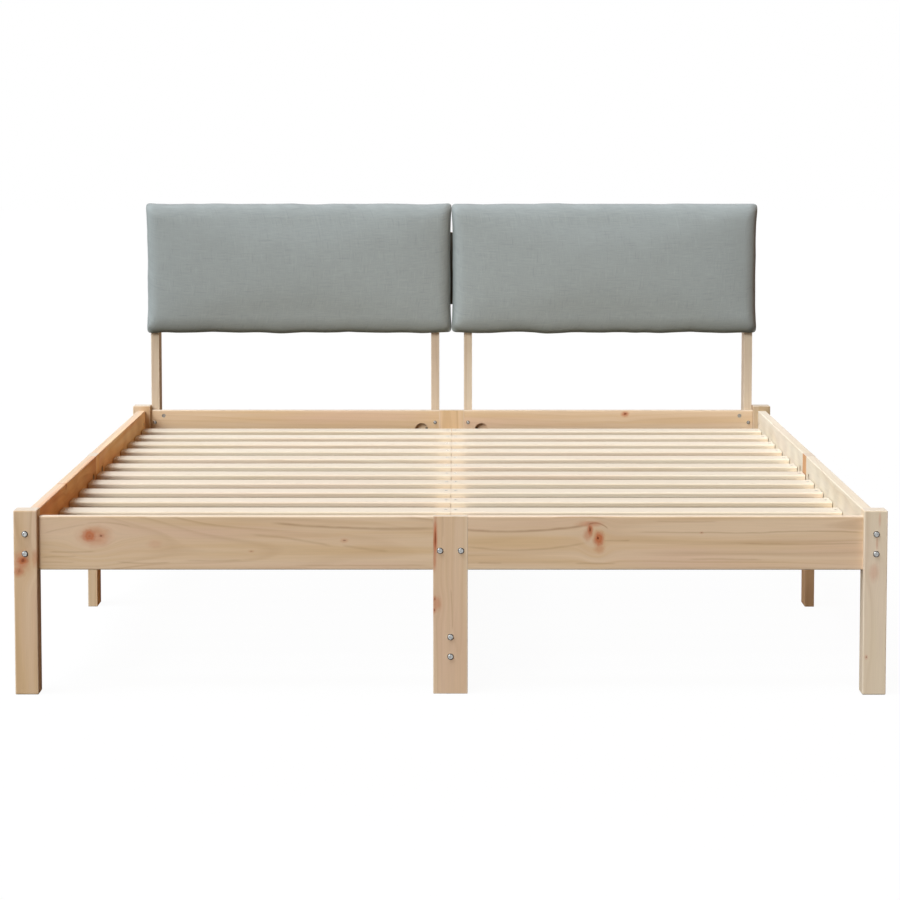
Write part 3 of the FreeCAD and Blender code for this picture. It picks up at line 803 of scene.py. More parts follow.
@dataclass(frozen=True)
class LinenFinish:
    """Grey plain-weave upholstery cloth with slubbed threads and painted shade where it turns under."""

    light: Colour = srgb(160, 168, 168)
    deep: Colour = srgb(152, 160, 160)
    slub: Colour = srgb(178, 186, 186)
    pit: Colour = srgb(126, 133, 133)
    # painted shade on cloth that faces downwards
    underside_shade: Colour = srgb(90, 92, 76)
    thread: float = 1.1 * MM
    yarn_waves: tuple[float, float] = (34.0, 700.0)
    slub_waves: tuple[tuple[float, float], ...] = ((19.0, 250.0), (210.0, 24.0))
    slub_share: float = 0.20
    underside_shade_share: float = 0.8
    sheen: float = 0.05
    sheen_spread: float = 0.5
    specular: float = 0.1

    def material(self) -> bpy.types.Material:
        """Make the cloth, with threads that run round the pad's edges.

        Returns:
            The material.
        """
        material, bench, shader = new_material("grey_linen")
        coords = bench.put("ShaderNodeTexCoord")
        x, y, z = bench.split(coords.outputs["Object"])
        warp, weft = bench.plus(x, y), bench.minus(z, y)
        turn = math.tau / self.thread
        over = bench.times(*(bench.maths("SINE", bench.times(way, turn)) for way in (warp, weft)))

        def woven(waves: Sequence[float], layer: float, detail: float) -> Socket:
            """Lay noise along the threads, with waves per metre along the warp and the weft."""
            at = bench.join(bench.times(warp, waves[0]), bench.times(weft, waves[1]), layer)
            return bench.cloud(at, detail=detail).outputs[0]

        across, down = woven(self.yarn_waves, 0.0, 2.0), woven(self.yarn_waves[::-1], 5.0, 2.0)
        mottle = bench.cloud(bench.join(warp, weft, 9.0), detail=3.0, scale=16.0).outputs[0]
        thread_tone = bench.plus(bench.times(across, 0.62), bench.times(down, 0.38))
        colour = bench.tint(self.deep, self.light, bench.fade(thread_tone, 0.32, 0.68))
        for waves, layer in zip(self.slub_waves, (2.0, 7.0)):
            sparse = woven(waves, layer, 1.0)
            for yarn, start, end in ((self.slub, 0.60, 0.76), (self.pit, 0.38, 0.26)):
                colour = bench.tint(colour, yarn, bench.times(bench.fade(sparse, start, end), self.slub_share))
        # Painted shade: cloth that faces downwards, where it turns under the pad, is darkened.
        turned_under = bench.fade(bench.split(coords.outputs["Normal"])[2], -0.15, -1.0)
        colour = bench.tint(colour, self.underside_shade, bench.times(turned_under, self.underside_shade_share))
        level = bench.times(bench.scaled(mottle, 0.1, 0.95), bench.scaled(over, 0.06, 0.97))
        looks = {
            "Base Color": bench.shade(colour, level),
            "Roughness": bench.scaled(thread_tone, 0.15, 0.8),
            "Sheen Weight": self.sheen,
            "Sheen Roughness": self.sheen_spread,
            "Specular IOR Level": self.specular,
        }
        height = bench.plus(bench.times(over, 0.4), bench.times(thread_tone, 0.8))
        bench.coat(shader, looks, height, 0.25, 0.4 * MM)
        return material


def paint(node: bpy.types.Object, material: bpy.types.Material) -> None:
    """Give every material slot of an object the same finish.

    Args:
        node: The object.
        material: Its finish.
    """
    if not node.material_slots:
        node.data.materials.append(material)
    for slot in node.material_slots:
        slot.material = material


def dress_boards(nodes: dict[str, bpy.types.Object], pine: PineFinish, boards: Sequence[Board]) -> None:
    """Give each board a pine of its own.

    Args:
        nodes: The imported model's objects by name.
        pine: The wood's finish.
        boards: The boards.
    """
    for board in boards:
        paint(nodes[board.node], pine.material(board))
        LOG.info("pine on %s, %d knots", board.node, len(board.knots))


@dataclass
class BedFrame:
    """The legs and rails of the bed.

    tones has the boards that aren't of the usual pine, several of them lit or shaded copies of it that carry painted
    light or shade. The next table gives the painted shade and warm bounce light on a board's inner side, with the depth
    where it begins.
    """

    sides: tuple[str, str] = ("left", "right")
    ends: tuple[str, str] = ("front", "rear")
    # Lit and shaded copies of the pine carry painted light and shade: the pale and cream tones on the lit right side,
    # the tan and amber ones for legs in shade.
    tones: dict[str, PineTone] = field(default_factory=lambda: {
        "front_right_leg": LIT_PALE_PINE,
        "front_centre_leg": PLAIN_PINE,
        "rear_left_rail": PLAIN_PINE,
        "rear_right_rail": PLAIN_PINE,
        "rear_right_leg": SHADED_TAN_PINE,
        "left_front_side_rail": LESS_TOP_LIGHT_PINE,
        "left_rear_side_rail": LESS_TOP_LIGHT_PINE,
        "right_front_side_rail": LIT_CREAM_PINE,
        "right_rear_side_rail": LIT_CREAM_PINE,
        "right_middle_leg": SHADED_AMBER_PINE,
    })
    # painted shade and warm bounce light on inner sides, with the depth where it begins
    shaded_sides: dict[str, tuple[PineTone, float]] = field(default_factory=lambda: {
        "left_front_side_rail": (SHADE_ORANGE_PINE, -0.2),
        "left_rear_side_rail": (SHADE_STRAW_PINE, -0.2),
        "left_middle_leg": (SHADE_HONEY_PINE, 0.7),
    })
    knots: dict[str, tuple[Knot, ...]] = field(default_factory=lambda: {
        "front_left_rail": (
            Knot(-0.678, 0.304, 0.038, 0.023, 0.0, 0.52), Knot(-0.689, 0.305, 0.021, 0.016, 0.1, 0.95),
            Knot(-0.667, 0.305, 0.015, 0.008, 0.75, 0.6), Knot(-0.202, 0.296, 0.010, 0.006, 0.5, 0.3),
            Knot(-0.380, 0.275, 0.007, 0.003, 0.4, 0.3), Knot(-0.564, 0.289, 0.018, 0.010, 0.0, 0.2),
        ),
        "front_right_rail": (
            Knot(0.283, 0.299, 0.013, 0.018, 0.0, 1.0), Knot(0.281, 0.300, 0.009, 0.011, 1.0, 1.0),
            Knot(0.266, 0.316, 0.008, 0.018, 0.9, 0.9), Knot(0.261, 0.306, 0.010, 0.013, 0.0, 0.5),
            Knot(0.284, 0.280, 0.013, 0.011, 0.0, 0.4), Knot(0.266, 0.328, 0.030, 0.007, 0.2, 0.5),
            Knot(0.479, 0.311, 0.005, 0.003, 0.7, 0.3),
        ),
        "front_left_leg": (
            Knot(0.257, -0.817, 0.027, 0.018, 0.0, 0.6), Knot(0.259, -0.815, 0.013, 0.016, 0.65, 1.0),
            Knot(0.239, -0.822, 0.014, 0.014, 0.25, 0.7), Knot(0.264, -0.791, 0.022, 0.008, 0.0, 0.4),
        ),
        "front_right_leg": (
            Knot(0.237, 0.807, 0.022, 0.012, 0.0, 0.3), Knot(0.073, 0.794, 0.006, 0.004, 0.8, 0.4),
            Knot(0.293, 0.812, 0.016, 0.003, 0.0, 0.35), Knot(0.339, 0.817, 0.018, 0.003, 0.0, 0.35),
        ),
        "front_centre_leg": (
            Knot(0.300, -0.029, 0.050, 0.005, 0.8, 0.95), Knot(0.258, -0.030, 0.024, 0.004, 0.0, 0.6),
            Knot(0.174, -0.026, 0.018, 0.011, 0.0, 0.5), Knot(0.183, -0.030, 0.009, 0.005, 0.6, 0.6),
            Knot(0.162, -0.031, 0.009, 0.005, 0.7, 0.6),
        ),
        "rear_right_rail": (Knot(0.454, 0.333, 0.013, 0.009, 0.9, 0.8),),
        "left_front_side_rail": (Knot(-0.560, 0.338, 0.014, 0.010, 0.9, 0.7),),
    })
    lines: dict[str, tuple[GrainLine, ...]] = field(default_factory=lambda: {
        "front_left_rail": (
            GrainLine(-0.779, -0.691, (0.309, 0.320, 0.328), 0.2),
            GrainLine(-0.700, -0.605, (0.328, 0.330, 0.321), 0.2),
            GrainLine(-0.770, -0.675, (0.274, 0.274, 0.275), 0.3),
            GrainLine(-0.782, -0.710, (0.264, 0.265, 0.266), 0.25),
            GrainLine(-0.785, -0.715, (0.254, 0.254, 0.254), 0.2),
            GrainLine(-0.640, -0.530, (0.255, 0.252, 0.254), 0.25),
            GrainLine(-0.510, -0.395, (0.258, 0.257, 0.258), 0.2),
            GrainLine(-0.350, -0.080, (0.330, 0.321, 0.318), 0.42, 4.0 * MM),
            GrainLine(-0.150, -0.020, (0.318, 0.318, 0.320), 0.35, 4.5 * MM),
            GrainLine(-0.385, -0.220, (0.307, 0.299, 0.284), 0.22, 4.0 * MM),
            GrainLine(-0.210, -0.115, (0.287, 0.280, 0.275), 0.18, 4.0 * MM),
            GrainLine(-0.300, -0.030, (0.248, 0.248, 0.248), 0.2),
        ),
        "front_right_rail": (
            GrainLine(0.005, 0.277, (0.319, 0.314, 0.328), 0.5, 4.0 * MM),
            GrainLine(0.262, 0.302, (0.326, 0.329, 0.318), 0.6),
            GrainLine(0.020, 0.270, (0.286, 0.278, 0.294), 0.25, 3.4 * MM),
            GrainLine(0.190, 0.300, (0.339, 0.341, 0.339), 0.3), GrainLine(0.290, 0.345, (0.296, 0.296, 0.296), 0.3),
            GrainLine(0.050, 0.100, (0.253, 0.253, 0.253), 0.25),
            GrainLine(0.235, 0.320, (0.252, 0.252, 0.252), 0.25), GrainLine(0.340, 0.620, (0.313, 0.311, 0.311), 0.3),
            GrainLine(0.570, 0.800, (0.310, 0.314, 0.311), 0.32),
            GrainLine(0.540, 0.800, (0.291, 0.289, 0.292), 0.28),
            GrainLine(0.450, 0.600, (0.260, 0.260, 0.259), 0.22), GrainLine(0.385, 0.515, (0.333, 0.332, 0.332), 0.2),
        ),
        "front_centre_leg": (
            GrainLine(0.300, 0.350, (-0.014, -0.014, -0.015), 0.3, 1.6 * MM),
            GrainLine(0.120, 0.205, (0.004, 0.003, 0.001), 0.3, 2.0 * MM),
        ),
    })

    def boards(self) -> list[Board]:
        """List the frame's boards.

        Returns:
            The legs, then the rails.
        """
        found = []
        for end in self.ends:
            for side in self.sides:
                found.append((f"{end}_{side}_leg", Grain.UPRIGHT_WIDE))
                found.append((f"{end}_{side}_rail", Grain.ACROSS_ON_EDGE))
                found.append((f"{side}_{end}_side_rail", Grain.ALONG_ON_EDGE))
            found.append((f"{end}_centre_leg", Grain.UPRIGHT_WIDE))
        for side in self.sides:
            found.append((f"{side}_middle_leg", Grain.UPRIGHT_DEEP))
        return [self.board(name, grain) for name, grain in found]

    def board(self, name: str, grain: Grain) -> Board:
        """Pick the wood of a board, which differs from trunk to trunk.

        Args:
            name: The board's node.
            grain: How it lies.

        Returns:
            The board.
        """
        tone = self.tones.get(name, FRAME_PINE)
        board = Board(name, grain, tone, self.knots.get(name, ()), self.lines.get(name, ()))
        if name in self.shaded_sides:
            shade_side_tone, shade_side_start = self.shaded_sides[name]
            return replace(board, shade_side_tone=shade_side_tone, shade_side_start=shade_side_start)
        return board


@dataclass
class SlatDeck:
    """The slats and what carries them."""

    rows: int = 13
    sides: tuple[str, str] = ("left", "right")
    ends: tuple[str, str] = ("front", "rear")

    def boards(self) -> list[Board]:
        """List the deck's boards.

        Returns:
            The slat rows, then the beams, the stretchers, the ledgers and the middle leg.
        """
        found = [Board(f"slat_row_{row:02d}", Grain.ACROSS_FLAT, SLAT_PINE) for row in range(1, self.rows + 1)]
        for end in self.ends:
            found.append(Board(f"{end}_centre_beam", Grain.ALONG_FLAT, FRAME_PINE))
            found.append(Board(f"{end}_stretcher", Grain.ALONG_ON_EDGE, FRAME_PINE))
            for side in self.sides:
                found.append(Board(f"{side}_{end}_ledger", Grain.ALONG_ON_EDGE, FRAME_PINE))
        found.append(Board("middle_centre_leg", Grain.UPRIGHT_WIDE, FRAME_PINE))
        return found


@dataclass
class HeadboardPad:
    """One upholstered pad: a linen cover drawn over foam, held at the back of its board.

    The places that end in _start and _at are shares of half the pad's size or of its whole depth.
    """

    node: str
    board: str
    seed: int
    cell: float = 6.0 * MM
    rim_cells: int = 3
    least_layers: int = 4
    end_rim: float = 30.0 * MM
    long_rim: float = 42.0 * MM
    upper_depth: float = 24.0 * MM
    lower_depth: float = 30.0 * MM
    rim_blend: int = 3
    back_round: float = 5.0 * MM
    back_start: float = 0.7
    start_inset: float = 9.0 * MM
    corner: float = 9.0 * MM
    pull_in: float = 0.6 * MM
    flare: float = 2.4 * MM
    flare_at: float = 0.88
    flare_power: int = 5
    side_start: float = 0.8
    top_start: float = 0.6
    wave: float = 1.8 * MM
    side_waves: float = 14.0
    top_waves: float = 11.0
    sag: float = 2.0 * MM
    crown: float = 8.0 * MM
    crown_power: int = 8
    pressure: float = 0.8
    tension: float = 60.0
    stiffness: float = 10.0
    cloth_mass: float = 0.3
    quality: int = 6
    frames: int = 20
    swell_cap: float = 14.0 * MM
    pucker: float = 0.9 * MM
    pucker_reach: float = 18.0 * MM
    pucker_waves: float = 30.0
    ripple_waves: float = 9.0
    board_gap: float = 0.3 * MM
    held_rows: int = 3
    settle_rounds: int = 40

    def stations(self, half: float, rim: float) -> list[float]:
        """Space the lines of the cover's grid along one side, with a line at the rim's inner edge.

        Args:
            half: Half the side's length.
            rim: The width of the rim at the back.

        Returns:
            The lines' places, from one end to the other.
        """
        inner_cells = round(2 * (half - rim) / self.cell)
        edge = [half - rim * step / self.rim_cells for step in range(self.rim_cells)]
        inner = np.linspace(half - rim, rim - half, inner_cells + 1).tolist()
        return [-place for place in edge + inner + [-place for place in reversed(edge)]]

    def build(self) -> bpy.types.Object:
        """Make the cover, swell it and turn its edge in round the board.

        Returns:
            The finished pad.
        """
        low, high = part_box(self.node)
        board_low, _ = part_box(self.board)
        middle, half = (low + high) / 2, (high - low) / 2
        rim = board_low.x - low.x
        shell = self.shell(middle, half, rim)
        self.swell(shell)
        self.crease(shell, middle, half)
        self.smooth(shell)
        self.turn_in(shell, board_low.y - self.board_gap)
        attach(shell, BODY)
        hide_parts(self.node)
        return shell

    def shell(self, middle: Vector, half: Vector, rim: float) -> bpy.types.Object:
        """Make the slack cover: the front, the four sides and the rim at the back.

        Args:
            middle: The middle of the space that the pad takes.
            half: Half the size of that space.
            rim: The width of the rim at the back.

        Returns:
            The cover, with its held points in a group.
        """
        xs, zs = self.stations(half.x, rim), self.stations(half.z, rim)
        layers = max(self.least_layers, round(2 * half.y / self.cell))
        ys = np.linspace(-half.y, half.y, layers + 1).tolist()
        right, back, top = len(xs) - 1, layers, len(zs) - 1
        shape = bmesh.new()
        points: dict[tuple[int, int, int], bmesh.types.BMVert] = {}
        held: list[int] = []

        def point(i: int, j: int, k: int) -> bmesh.types.BMVert:
            """The cover's point at a place of the grid."""
            key = (i, j, k)
            if key not in points:
                spot = self.rounded(Vector((xs[i], ys[j], zs[k])), half)
                points[key] = shape.verts.new(middle + self.slack(spot, half))
                if j > back - self.held_rows:
                    held.append(len(points) - 1)
            return points[key]

        def quad(*keys: tuple[int, int, int]) -> None:
            """Join four points of the grid."""
            shape.faces.new([point(*key) for key in keys])

        for i in range(right):
            for k in range(top):
                quad((i, 0, k), (i + 1, 0, k), (i + 1, 0, k + 1), (i, 0, k + 1))
                if min(i, k, right - 1 - i, top - 1 - k) < self.rim_cells:
                    quad((i, back, k), (i, back, k + 1), (i + 1, back, k + 1), (i + 1, back, k))
        for j in range(back):
            for i in range(right):
                quad((i, j, 0), (i, j + 1, 0), (i + 1, j + 1, 0), (i + 1, j, 0))
                quad((i, j, top), (i + 1, j, top), (i + 1, j + 1, top), (i, j + 1, top))
            for k in range(top):
                quad((0, j, k), (0, j, k + 1), (0, j + 1, k + 1), (0, j + 1, k))
                quad((right, j, k), (right, j + 1, k), (right, j + 1, k + 1), (right, j, k + 1))
        mesh = bpy.data.meshes.new(f"{self.node}_cover")
        shape.to_mesh(mesh)
        shape.free()
        cover = bpy.data.objects.new(f"{self.node}_cover", mesh)
        bpy.context.scene.collection.objects.link(cover)
        cover.vertex_groups.new(name="held").add(held, 1.0, "REPLACE")
        return cover

    def rounded(self, spot: Vector, half: Vector) -> Vector:
        """Round a box: a wide soft rim round its front and a small one round its back.

        Args:
            spot: A point on the box, from its middle.
            half: Half the box's size.

        Returns:
            The point on the rounded box.
        """
        inside = Vector((half.x - abs(spot.x), half.z - abs(spot.z)))
        closeness = [max(0.0, 1 - place / rim) for place, rim in zip(inside, (self.end_rim, self.long_rim))]
        power = self.rim_blend
        outward = min(1.0, (closeness[0] ** power + closeness[1] ** power) ** (1 / power))
        below = min(1.0, max(0.0, 0.5 - spot.z / half.z))
        rim_depth = self.upper_depth + (self.lower_depth - self.upper_depth) * below
        drop = rim_depth * (1 - math.sqrt(1 - outward * outward))
        depth = (spot.y + half.y) / (2 * half.y)
        late = min(1.0, max(0.0, (depth - self.back_start) / (1 - self.back_start)))
        tuck = self.back_round * (1 - math.sqrt(1 - late * late))
        shrink = Vector(tuck * max(0.0, 1 - place / (2 * self.back_round)) for place in inside)
        reach = Vector(max(0.0, self.corner - place) for place in inside)
        if reach.length > self.corner:
            shrink += reach * (1 - self.corner / reach.length)
        return Vector((
            spot.x - math.copysign(shrink[0], spot.x),
            drop - half.y + (2 * half.y - drop) * depth,
            spot.z - math.copysign(shrink[1], spot.z),
        ))

    def slack(self, spot: Vector, half: Vector) -> Vector:
        """Draw the sides in between the corners, let the edges wave and crown the front.

        Args:
            spot: A point on the rounded box, from its middle.
            half: Half the box's size.

        Returns:
            The point on the slack cover.
        """
        u, v = spot.x / half.x, spot.z / half.z
        depth = (half.y - spot.y) / (2 * half.y)
        near_side = max(0.0, abs(u) - self.side_start) / (1 - self.side_start)
        near_top = max(0.0, abs(v) - self.top_start) / (1 - self.top_start)
        cornered = min(1.0, abs(v) / self.flare_at) ** self.flare_power
        side_wave = noise.noise(Vector((self.seed, u * 2, spot.z * self.side_waves))) * self.wave / 2
        side = (self.pull_in + self.flare) * cornered - self.pull_in + side_wave * (1 - cornered)
        top_wave = noise.noise(Vector((spot.x * self.top_waves, v * 2, self.seed + 5))) * 2 * self.wave
        crown = self.crown * (1 - v * v) * (1 - u ** self.crown_power)
        return Vector((
            spot.x + math.copysign(1.0, u) * side * near_side,
            spot.y + (self.start_inset - crown) * depth,
            spot.z + (math.copysign(1.0, v) * top_wave - self.sag) * near_top,
        ))

    def swell(self, cover: bpy.types.Object) -> None:
        """Fill the cover by simulation, with a limit on how far it swells.

        Args:
            cover: The slack cover, which is changed.
        """
        mesh = cover.data
        start = np.empty(len(mesh.vertices) * 3)
        mesh.vertices.foreach_get("co", start)
        cloth = cover.modifiers.new("fill", "CLOTH")
        settings = {
            "quality": self.quality,
            "mass": self.cloth_mass,
            "tension_stiffness": self.tension,
            "compression_stiffness": self.tension,
            "shear_stiffness": self.tension / 2,
            "bending_stiffness": self.stiffness,
            "use_pressure": True,
            "uniform_pressure_force": self.pressure,
            "vertex_group_mass": "held",
        }
        for name, value in settings.items():
            setattr(cloth.settings, name, value)
        cloth.settings.effector_weights.gravity = 0
        cloth.collision_settings.use_collision = False
        cloth.point_cache.frame_end = self.frames
        scene = bpy.context.scene
        for frame_number in range(1, self.frames + 1):
            scene.frame_set(frame_number)
        shown = cover.evaluated_get(bpy.context.evaluated_depsgraph_get())
        swollen = np.empty(len(mesh.vertices) * 3)
        shown.data.vertices.foreach_get("co", swollen)
        cover.modifiers.remove(cloth)
        scene.frame_set(1)
        moved = self.settled(mesh, (swollen - start).reshape(-1, 3))
        share = min(1.0, self.swell_cap / abs(moved).max())
        LOG.info("%s swelled by %.1f mm, kept to %.0f%%", cover.name, abs(moved).max() / MM, 100 * share)
        mesh.vertices.foreach_set("co", start + moved.ravel() * share)
        mesh.update()

    def settled(self, mesh: bpy.types.Mesh, moved: np.ndarray) -> np.ndarray:
        """Spread the swelling evenly, as foam does, so no ridge runs in from the corners.

        Args:
            mesh: The slack cover.
            moved: How far each of its points moved.

        Returns:
            The same moves, evened out between neighbours. Held points stay.
        """
        ends = np.empty(len(mesh.edges) * 2, dtype=np.int32)
        mesh.edges.foreach_get("vertices", ends)
        first, second = ends.reshape(-1, 2).T
        count = np.bincount(ends, minlength=len(moved))[:, None]
        still = abs(moved).max(axis=1) == 0
        for _ in range(self.settle_rounds):
            total = np.zeros_like(moved)
            np.add.at(total, first, moved[second])
            np.add.at(total, second, moved[first])
            moved = (moved + total / count) / 2
            moved[still] = 0
        return moved

    def crease(self, cover: bpy.types.Object, middle: Vector, half: Vector) -> None:
        """Pucker the cloth where it turns over the edges.

        Args:
            cover: The cover, which is changed.
            middle: The middle of the pad.
            half: Half its size.
        """
        mesh = cover.data
        normals = [vertex.normal.copy() for vertex in mesh.vertices]
        for vertex, normal in zip(mesh.vertices, normals):
            spot = vertex.co - middle
            if spot.y > half.y - 2 * self.back_round:
                continue
            edge = min(half.x - abs(spot.x), half.z - abs(spot.z))
            share = math.exp(-max(0.0, edge) / self.pucker_reach)
            run = Vector((spot.x * self.pucker_waves, spot.z * self.pucker_waves, self.seed * 1.7))
            ripple = spot * self.ripple_waves + Vector((self.seed, 0, 0))
            vertex.co += normal * (self.pucker * share * noise.noise(run))
            vertex.co += normal * (0.5 * self.pucker * noise.noise(ripple))
        mesh.update()

    def turn_in(self, cover: bpy.types.Object, floor: float) -> None:
        """Close the back with a recess that holds the board.

        Args:
            cover: The cover, which is changed.
            floor: Where the recess ends, just in front of the board.
        """
        shape = bmesh.new()
        shape.from_mesh(cover.data)
        rim = [edge for edge in shape.edges if edge.is_boundary]
        for edge in rim:
            edge.smooth = False
        made = bmesh.ops.extrude_edge_only(shape, edges=rim)["geom"]
        for item in made:
            if isinstance(item, bmesh.types.BMVert):
                item.co.y = floor
        inner = [item for item in made if isinstance(item, bmesh.types.BMEdge) and item.is_boundary]
        bmesh.ops.contextual_create(shape, geom=inner)
        bmesh.ops.recalc_face_normals(shape, faces=shape.faces[:])
        shape.to_mesh(cover.data)
        shape.free()

    def smooth(self, cover: bpy.types.Object) -> None:
        """Subdivide the cover once and shade it smooth.

        Args:
            cover: The cover, which is changed.
        """
        finer = cover.modifiers.new("finer", "SUBSURF")
        finer.levels = 1
        finer.render_levels = 1
        shown = cover.evaluated_get(bpy.context.evaluated_depsgraph_get())
        mesh = bpy.data.meshes.new_from_object(shown)
        cover.modifiers.remove(finer)
        cover.data = mesh
        mesh.name = cover.name
        for face in mesh.polygons:
            face.use_smooth = True


@dataclass
class Headboard:
    """The posts, the board that ties them together, and the two pads."""

    sides: tuple[str, str] = ("left", "right")

    def boards(self) -> list[Board]:
        """List the headboard's pine boards.

        Returns:
            The posts and the joining board.
        """
        names = [f"{side}_{place}_post" for side in self.sides for place in ("outer", "inner")]
        found = [Board(name, Grain.UPRIGHT_DEEP, POST_PINE) for name in names]
        # The joining board is painted in deep shade, the near-black it shows in the narrow gap between the pads.
        return found + [Board("joining_board", Grain.UPRIGHT_WIDE, SHADE_DARK_PINE)]

    def build_pads(self, linen: bpy.types.Material) -> None:
        """Make both pads.

        Args:
            linen: Their cloth.
        """
        for seed, side in enumerate(self.sides, start=3):
            pad = HeadboardPad(f"{side}_pad", f"{side}_pad_board", seed).build()
            paint(pad, linen)
            LOG.info("linen cover %s with %d faces", pad.name, len(pad.data.polygons))

    def dress_pad_boards(self, nodes: dict[str, bpy.types.Object], chips: bpy.types.Material) -> None:
        """Finish the boards inside the pads.

        Args:
            nodes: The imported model's objects by name.
            chips: Their finish.
        """
        for side in self.sides:
            paint(nodes[f"{side}_pad_board"], chips)
            LOG.info("chipboard on %s_pad_board", side)


@dataclass
class Hardware:
    """Every bolt, nut, rod, stud and screw."""

    groups: tuple[str, ...] = (
        "side_rail_bolts", "end_rail_bolts", "centre_leg_bolts", "centre_studs", "barrel_nuts", "rail_joint_rods",
        "rail_joint_nuts", "slat_screws", "ledger_screws", "post_screws", "pad_bolts", "joining_board_screws",
    )

    def dress(self, nodes: dict[str, bpy.types.Object], zinc: bpy.types.Material) -> None:
        """Plate the fasteners.

        Args:
            nodes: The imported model's objects by name.
            zinc: Their finish.
        """
        for name in self.groups:
            paint(nodes[name], zinc)
            LOG.info("zinc on %s", name)


RIGHT_SIDE = (
    "front_right_leg", "right_front_side_rail", "right_middle_leg", "right_rear_side_rail", "rear_right_leg",
    "right_outer_post", "right_inner_post",
)


@dataclass(frozen=True)
class Lamp:
    """A soft lamp far away: where its light comes from, its level, its width in radians and its colour.

    only names the nodes that it lights, where it doesn't light them all.
    """

    name: str
    towards: tuple[float, float, float]
    level: float
    width: float
    colour: tuple[float, float, float]
    only: tuple[str, ...] = ()


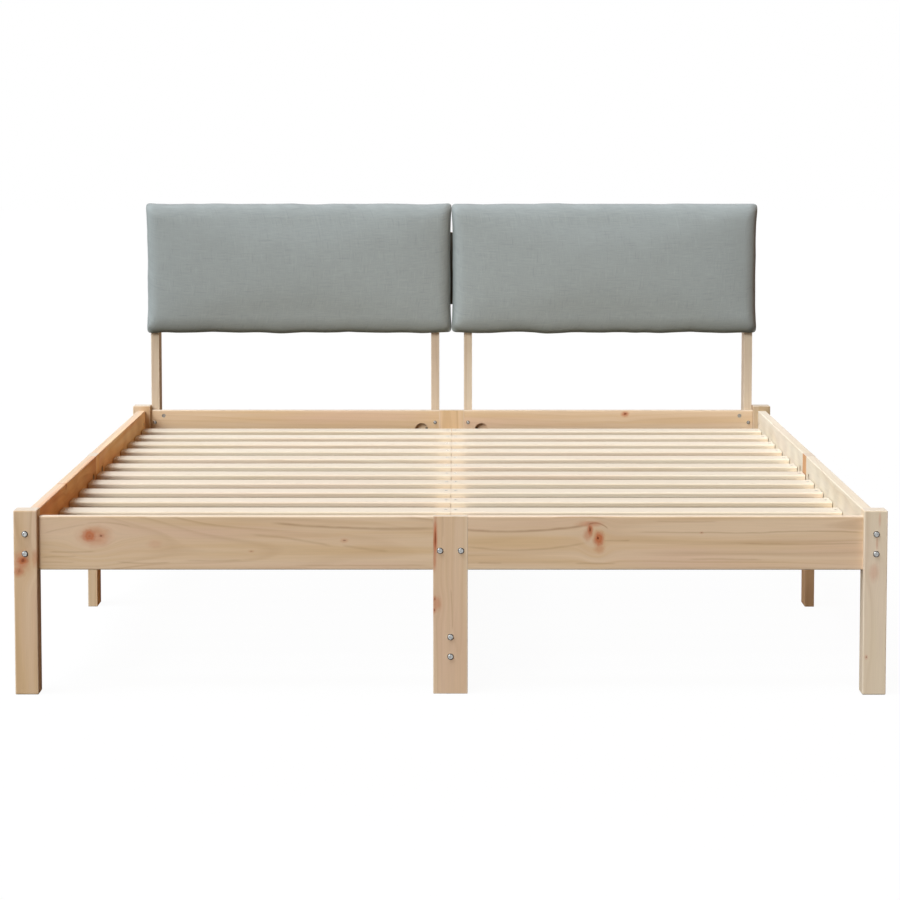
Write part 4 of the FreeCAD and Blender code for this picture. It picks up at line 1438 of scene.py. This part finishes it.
@dataclass
class Studio:
    """The white floor, the light and the camera."""

    lamps: tuple[Lamp, ...] = (
        Lamp("key_from_left", (-0.40, -0.18, 0.90), 0.90, 0.5, (0.81, 0.90, 1.0)),
        Lamp("front_fill", (-0.38, -0.84, 0.38), 0.63, 0.4, (0.96, 1.0, 1.0)),
        Lamp("left_fill", (-0.95, 0.05, 0.30), 0.22, 0.8, (1.0, 1.0, 1.0)),
        Lamp("back_fill", (-0.25, 0.94, 0.22), 0.42, 0.5, (1.0, 0.98, 0.96)),
        Lamp("right_glow", (0.75, 0.10, 0.65), 0.10, 0.8, (1.0, 0.60, 0.35)),
        Lamp("right_side", (1.0, 0.0, 0.0), 0.60, 0.4, (1.0, 0.97, 0.92), RIGHT_SIDE),
    )
    ambient: Colour = (1.0, 0.52, 0.26, 1.0)
    ambient_level: float = 0.20
    floor_size: float = 60.0
    floor_colour: Colour = (0.035, 0.035, 0.035, 1.0)
    floor_glow: float = 0.96
    camera_place: tuple[float, float, float] = (0.0077646, -6.4245409, 1.0844168)
    camera_pitch: float = 0.0823
    camera_turn: float = 0.0016
    camera_lens: float = 113.6005
    camera_sensor: float = 36.0
    camera_reach: float = 200.0
    camera_shift: float = -0.1

    def seen_directly(self, bench: ShaderBench) -> Socket:
        """Tell the rays that show the background from those that light the object.

        Args:
            bench: The bench of the floor's or the world's nodes.

        Returns:
            1 for a camera, glossy or transmission ray.
        """
        path = bench.put("ShaderNodeLightPath").outputs
        mirrored = bench.most(path["Is Glossy Ray"], path["Is Transmission Ray"])
        return bench.most(path["Is Camera Ray"], mirrored)

    def build_floor(self) -> None:
        """Lay a white floor that keeps the bed's shadow."""
        shape = bmesh.new()
        bmesh.ops.create_grid(shape, x_segments=1, y_segments=1, size=self.floor_size / 2)
        mesh = bpy.data.meshes.new("floor")
        shape.to_mesh(mesh)
        shape.free()
        floor = bpy.data.objects.new("floor", mesh)
        bpy.context.scene.collection.objects.link(floor)
        material = bpy.data.materials.new("white_floor")
        material.use_nodes = True
        bench = ShaderBench(material.node_tree)
        bench.tree.nodes.clear()
        matt = bench.put("ShaderNodeBsdfDiffuse", {"Color": self.floor_colour})
        shown = bench.times(self.seen_directly(bench), self.floor_glow)
        glow = bench.put("ShaderNodeEmission", {"Strength": shown})
        both = bench.put("ShaderNodeAddShader", {0: matt.outputs[0], 1: glow.outputs[0]})
        bench.put("ShaderNodeOutputMaterial", {"Surface": both.outputs[0]})
        mesh.materials.append(material)

    def build_world(self) -> None:
        """Light the bed from all round, against white."""
        world = bpy.data.worlds.new("studio")
        bpy.context.scene.world = world
        world.use_nodes = True
        bench = ShaderBench(world.node_tree)
        bench.tree.nodes.clear()
        fill = bench.put("ShaderNodeBackground", {"Color": self.ambient, "Strength": self.ambient_level})
        white = bench.put("ShaderNodeBackground", {"Color": (1.0, 1.0, 1.0, 1.0), "Strength": 1.0})
        feeds = {0: self.seen_directly(bench), 1: fill.outputs[0], 2: white.outputs[0]}
        both = bench.put("ShaderNodeMixShader", feeds)
        bench.put("ShaderNodeOutputWorld", {"Surface": both.outputs[0]})

    def build_lamps(self, nodes: dict[str, bpy.types.Object]) -> None:
        """Hang the lamps.

        Args:
            nodes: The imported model's objects by name.
        """
        for lamp in self.lamps:
            light = bpy.data.lights.new(lamp.name, "SUN")
            light.energy = lamp.level * math.pi
            light.angle = lamp.width
            light.color = lamp.colour
            stand = bpy.data.objects.new(lamp.name, light)
            stand.rotation_euler = (-Vector(lamp.towards)).to_track_quat("-Z", "Y").to_euler()
            bpy.context.scene.collection.objects.link(stand)
            if lamp.only:
                lit = bpy.data.collections.new(lamp.name)
                for name in lamp.only:
                    lit.objects.link(nodes[name])
                stand.light_linking.receiver_collection = lit
            LOG.info("lamp %s at level %.2f", lamp.name, lamp.level)

    def build_camera(self) -> None:
        """Set the camera at the foot of the bed."""
        lens = bpy.data.cameras.new("camera")
        lens.sensor_width = self.camera_sensor
        lens.lens = self.camera_lens
        lens.shift_y = self.camera_shift
        lens.clip_end = self.camera_reach
        camera = bpy.data.objects.new("camera", lens)
        camera.location = self.camera_place
        camera.rotation_euler = (math.pi / 2 - self.camera_pitch, 0.0, self.camera_turn)
        bpy.context.scene.collection.objects.link(camera)
        bpy.context.scene.camera = camera

    def build(self, nodes: dict[str, bpy.types.Object]) -> None:
        """Set up the whole studio.

        Args:
            nodes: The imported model's objects by name.
        """
        bpy.context.scene.view_settings.view_transform = "Standard"
        self.build_floor()
        self.build_world()
        self.build_lamps(nodes)
        self.build_camera()


def main() -> None:
    """Dress every sub-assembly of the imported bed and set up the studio."""
    logging.basicConfig(level=logging.INFO, format="%(message)s")
    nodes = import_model()["nodes"]
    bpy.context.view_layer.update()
    pine = PineFinish()
    headboard = Headboard()
    for assembly in (BedFrame(), SlatDeck(), headboard):
        dress_boards(nodes, pine, assembly.boards())
    headboard.dress_pad_boards(nodes, ChipFinish().material())
    headboard.build_pads(LinenFinish().material())
    Hardware().dress(nodes, ZincFinish().material())
    Studio().build(nodes)


if __name__ == "__main__":
    main()
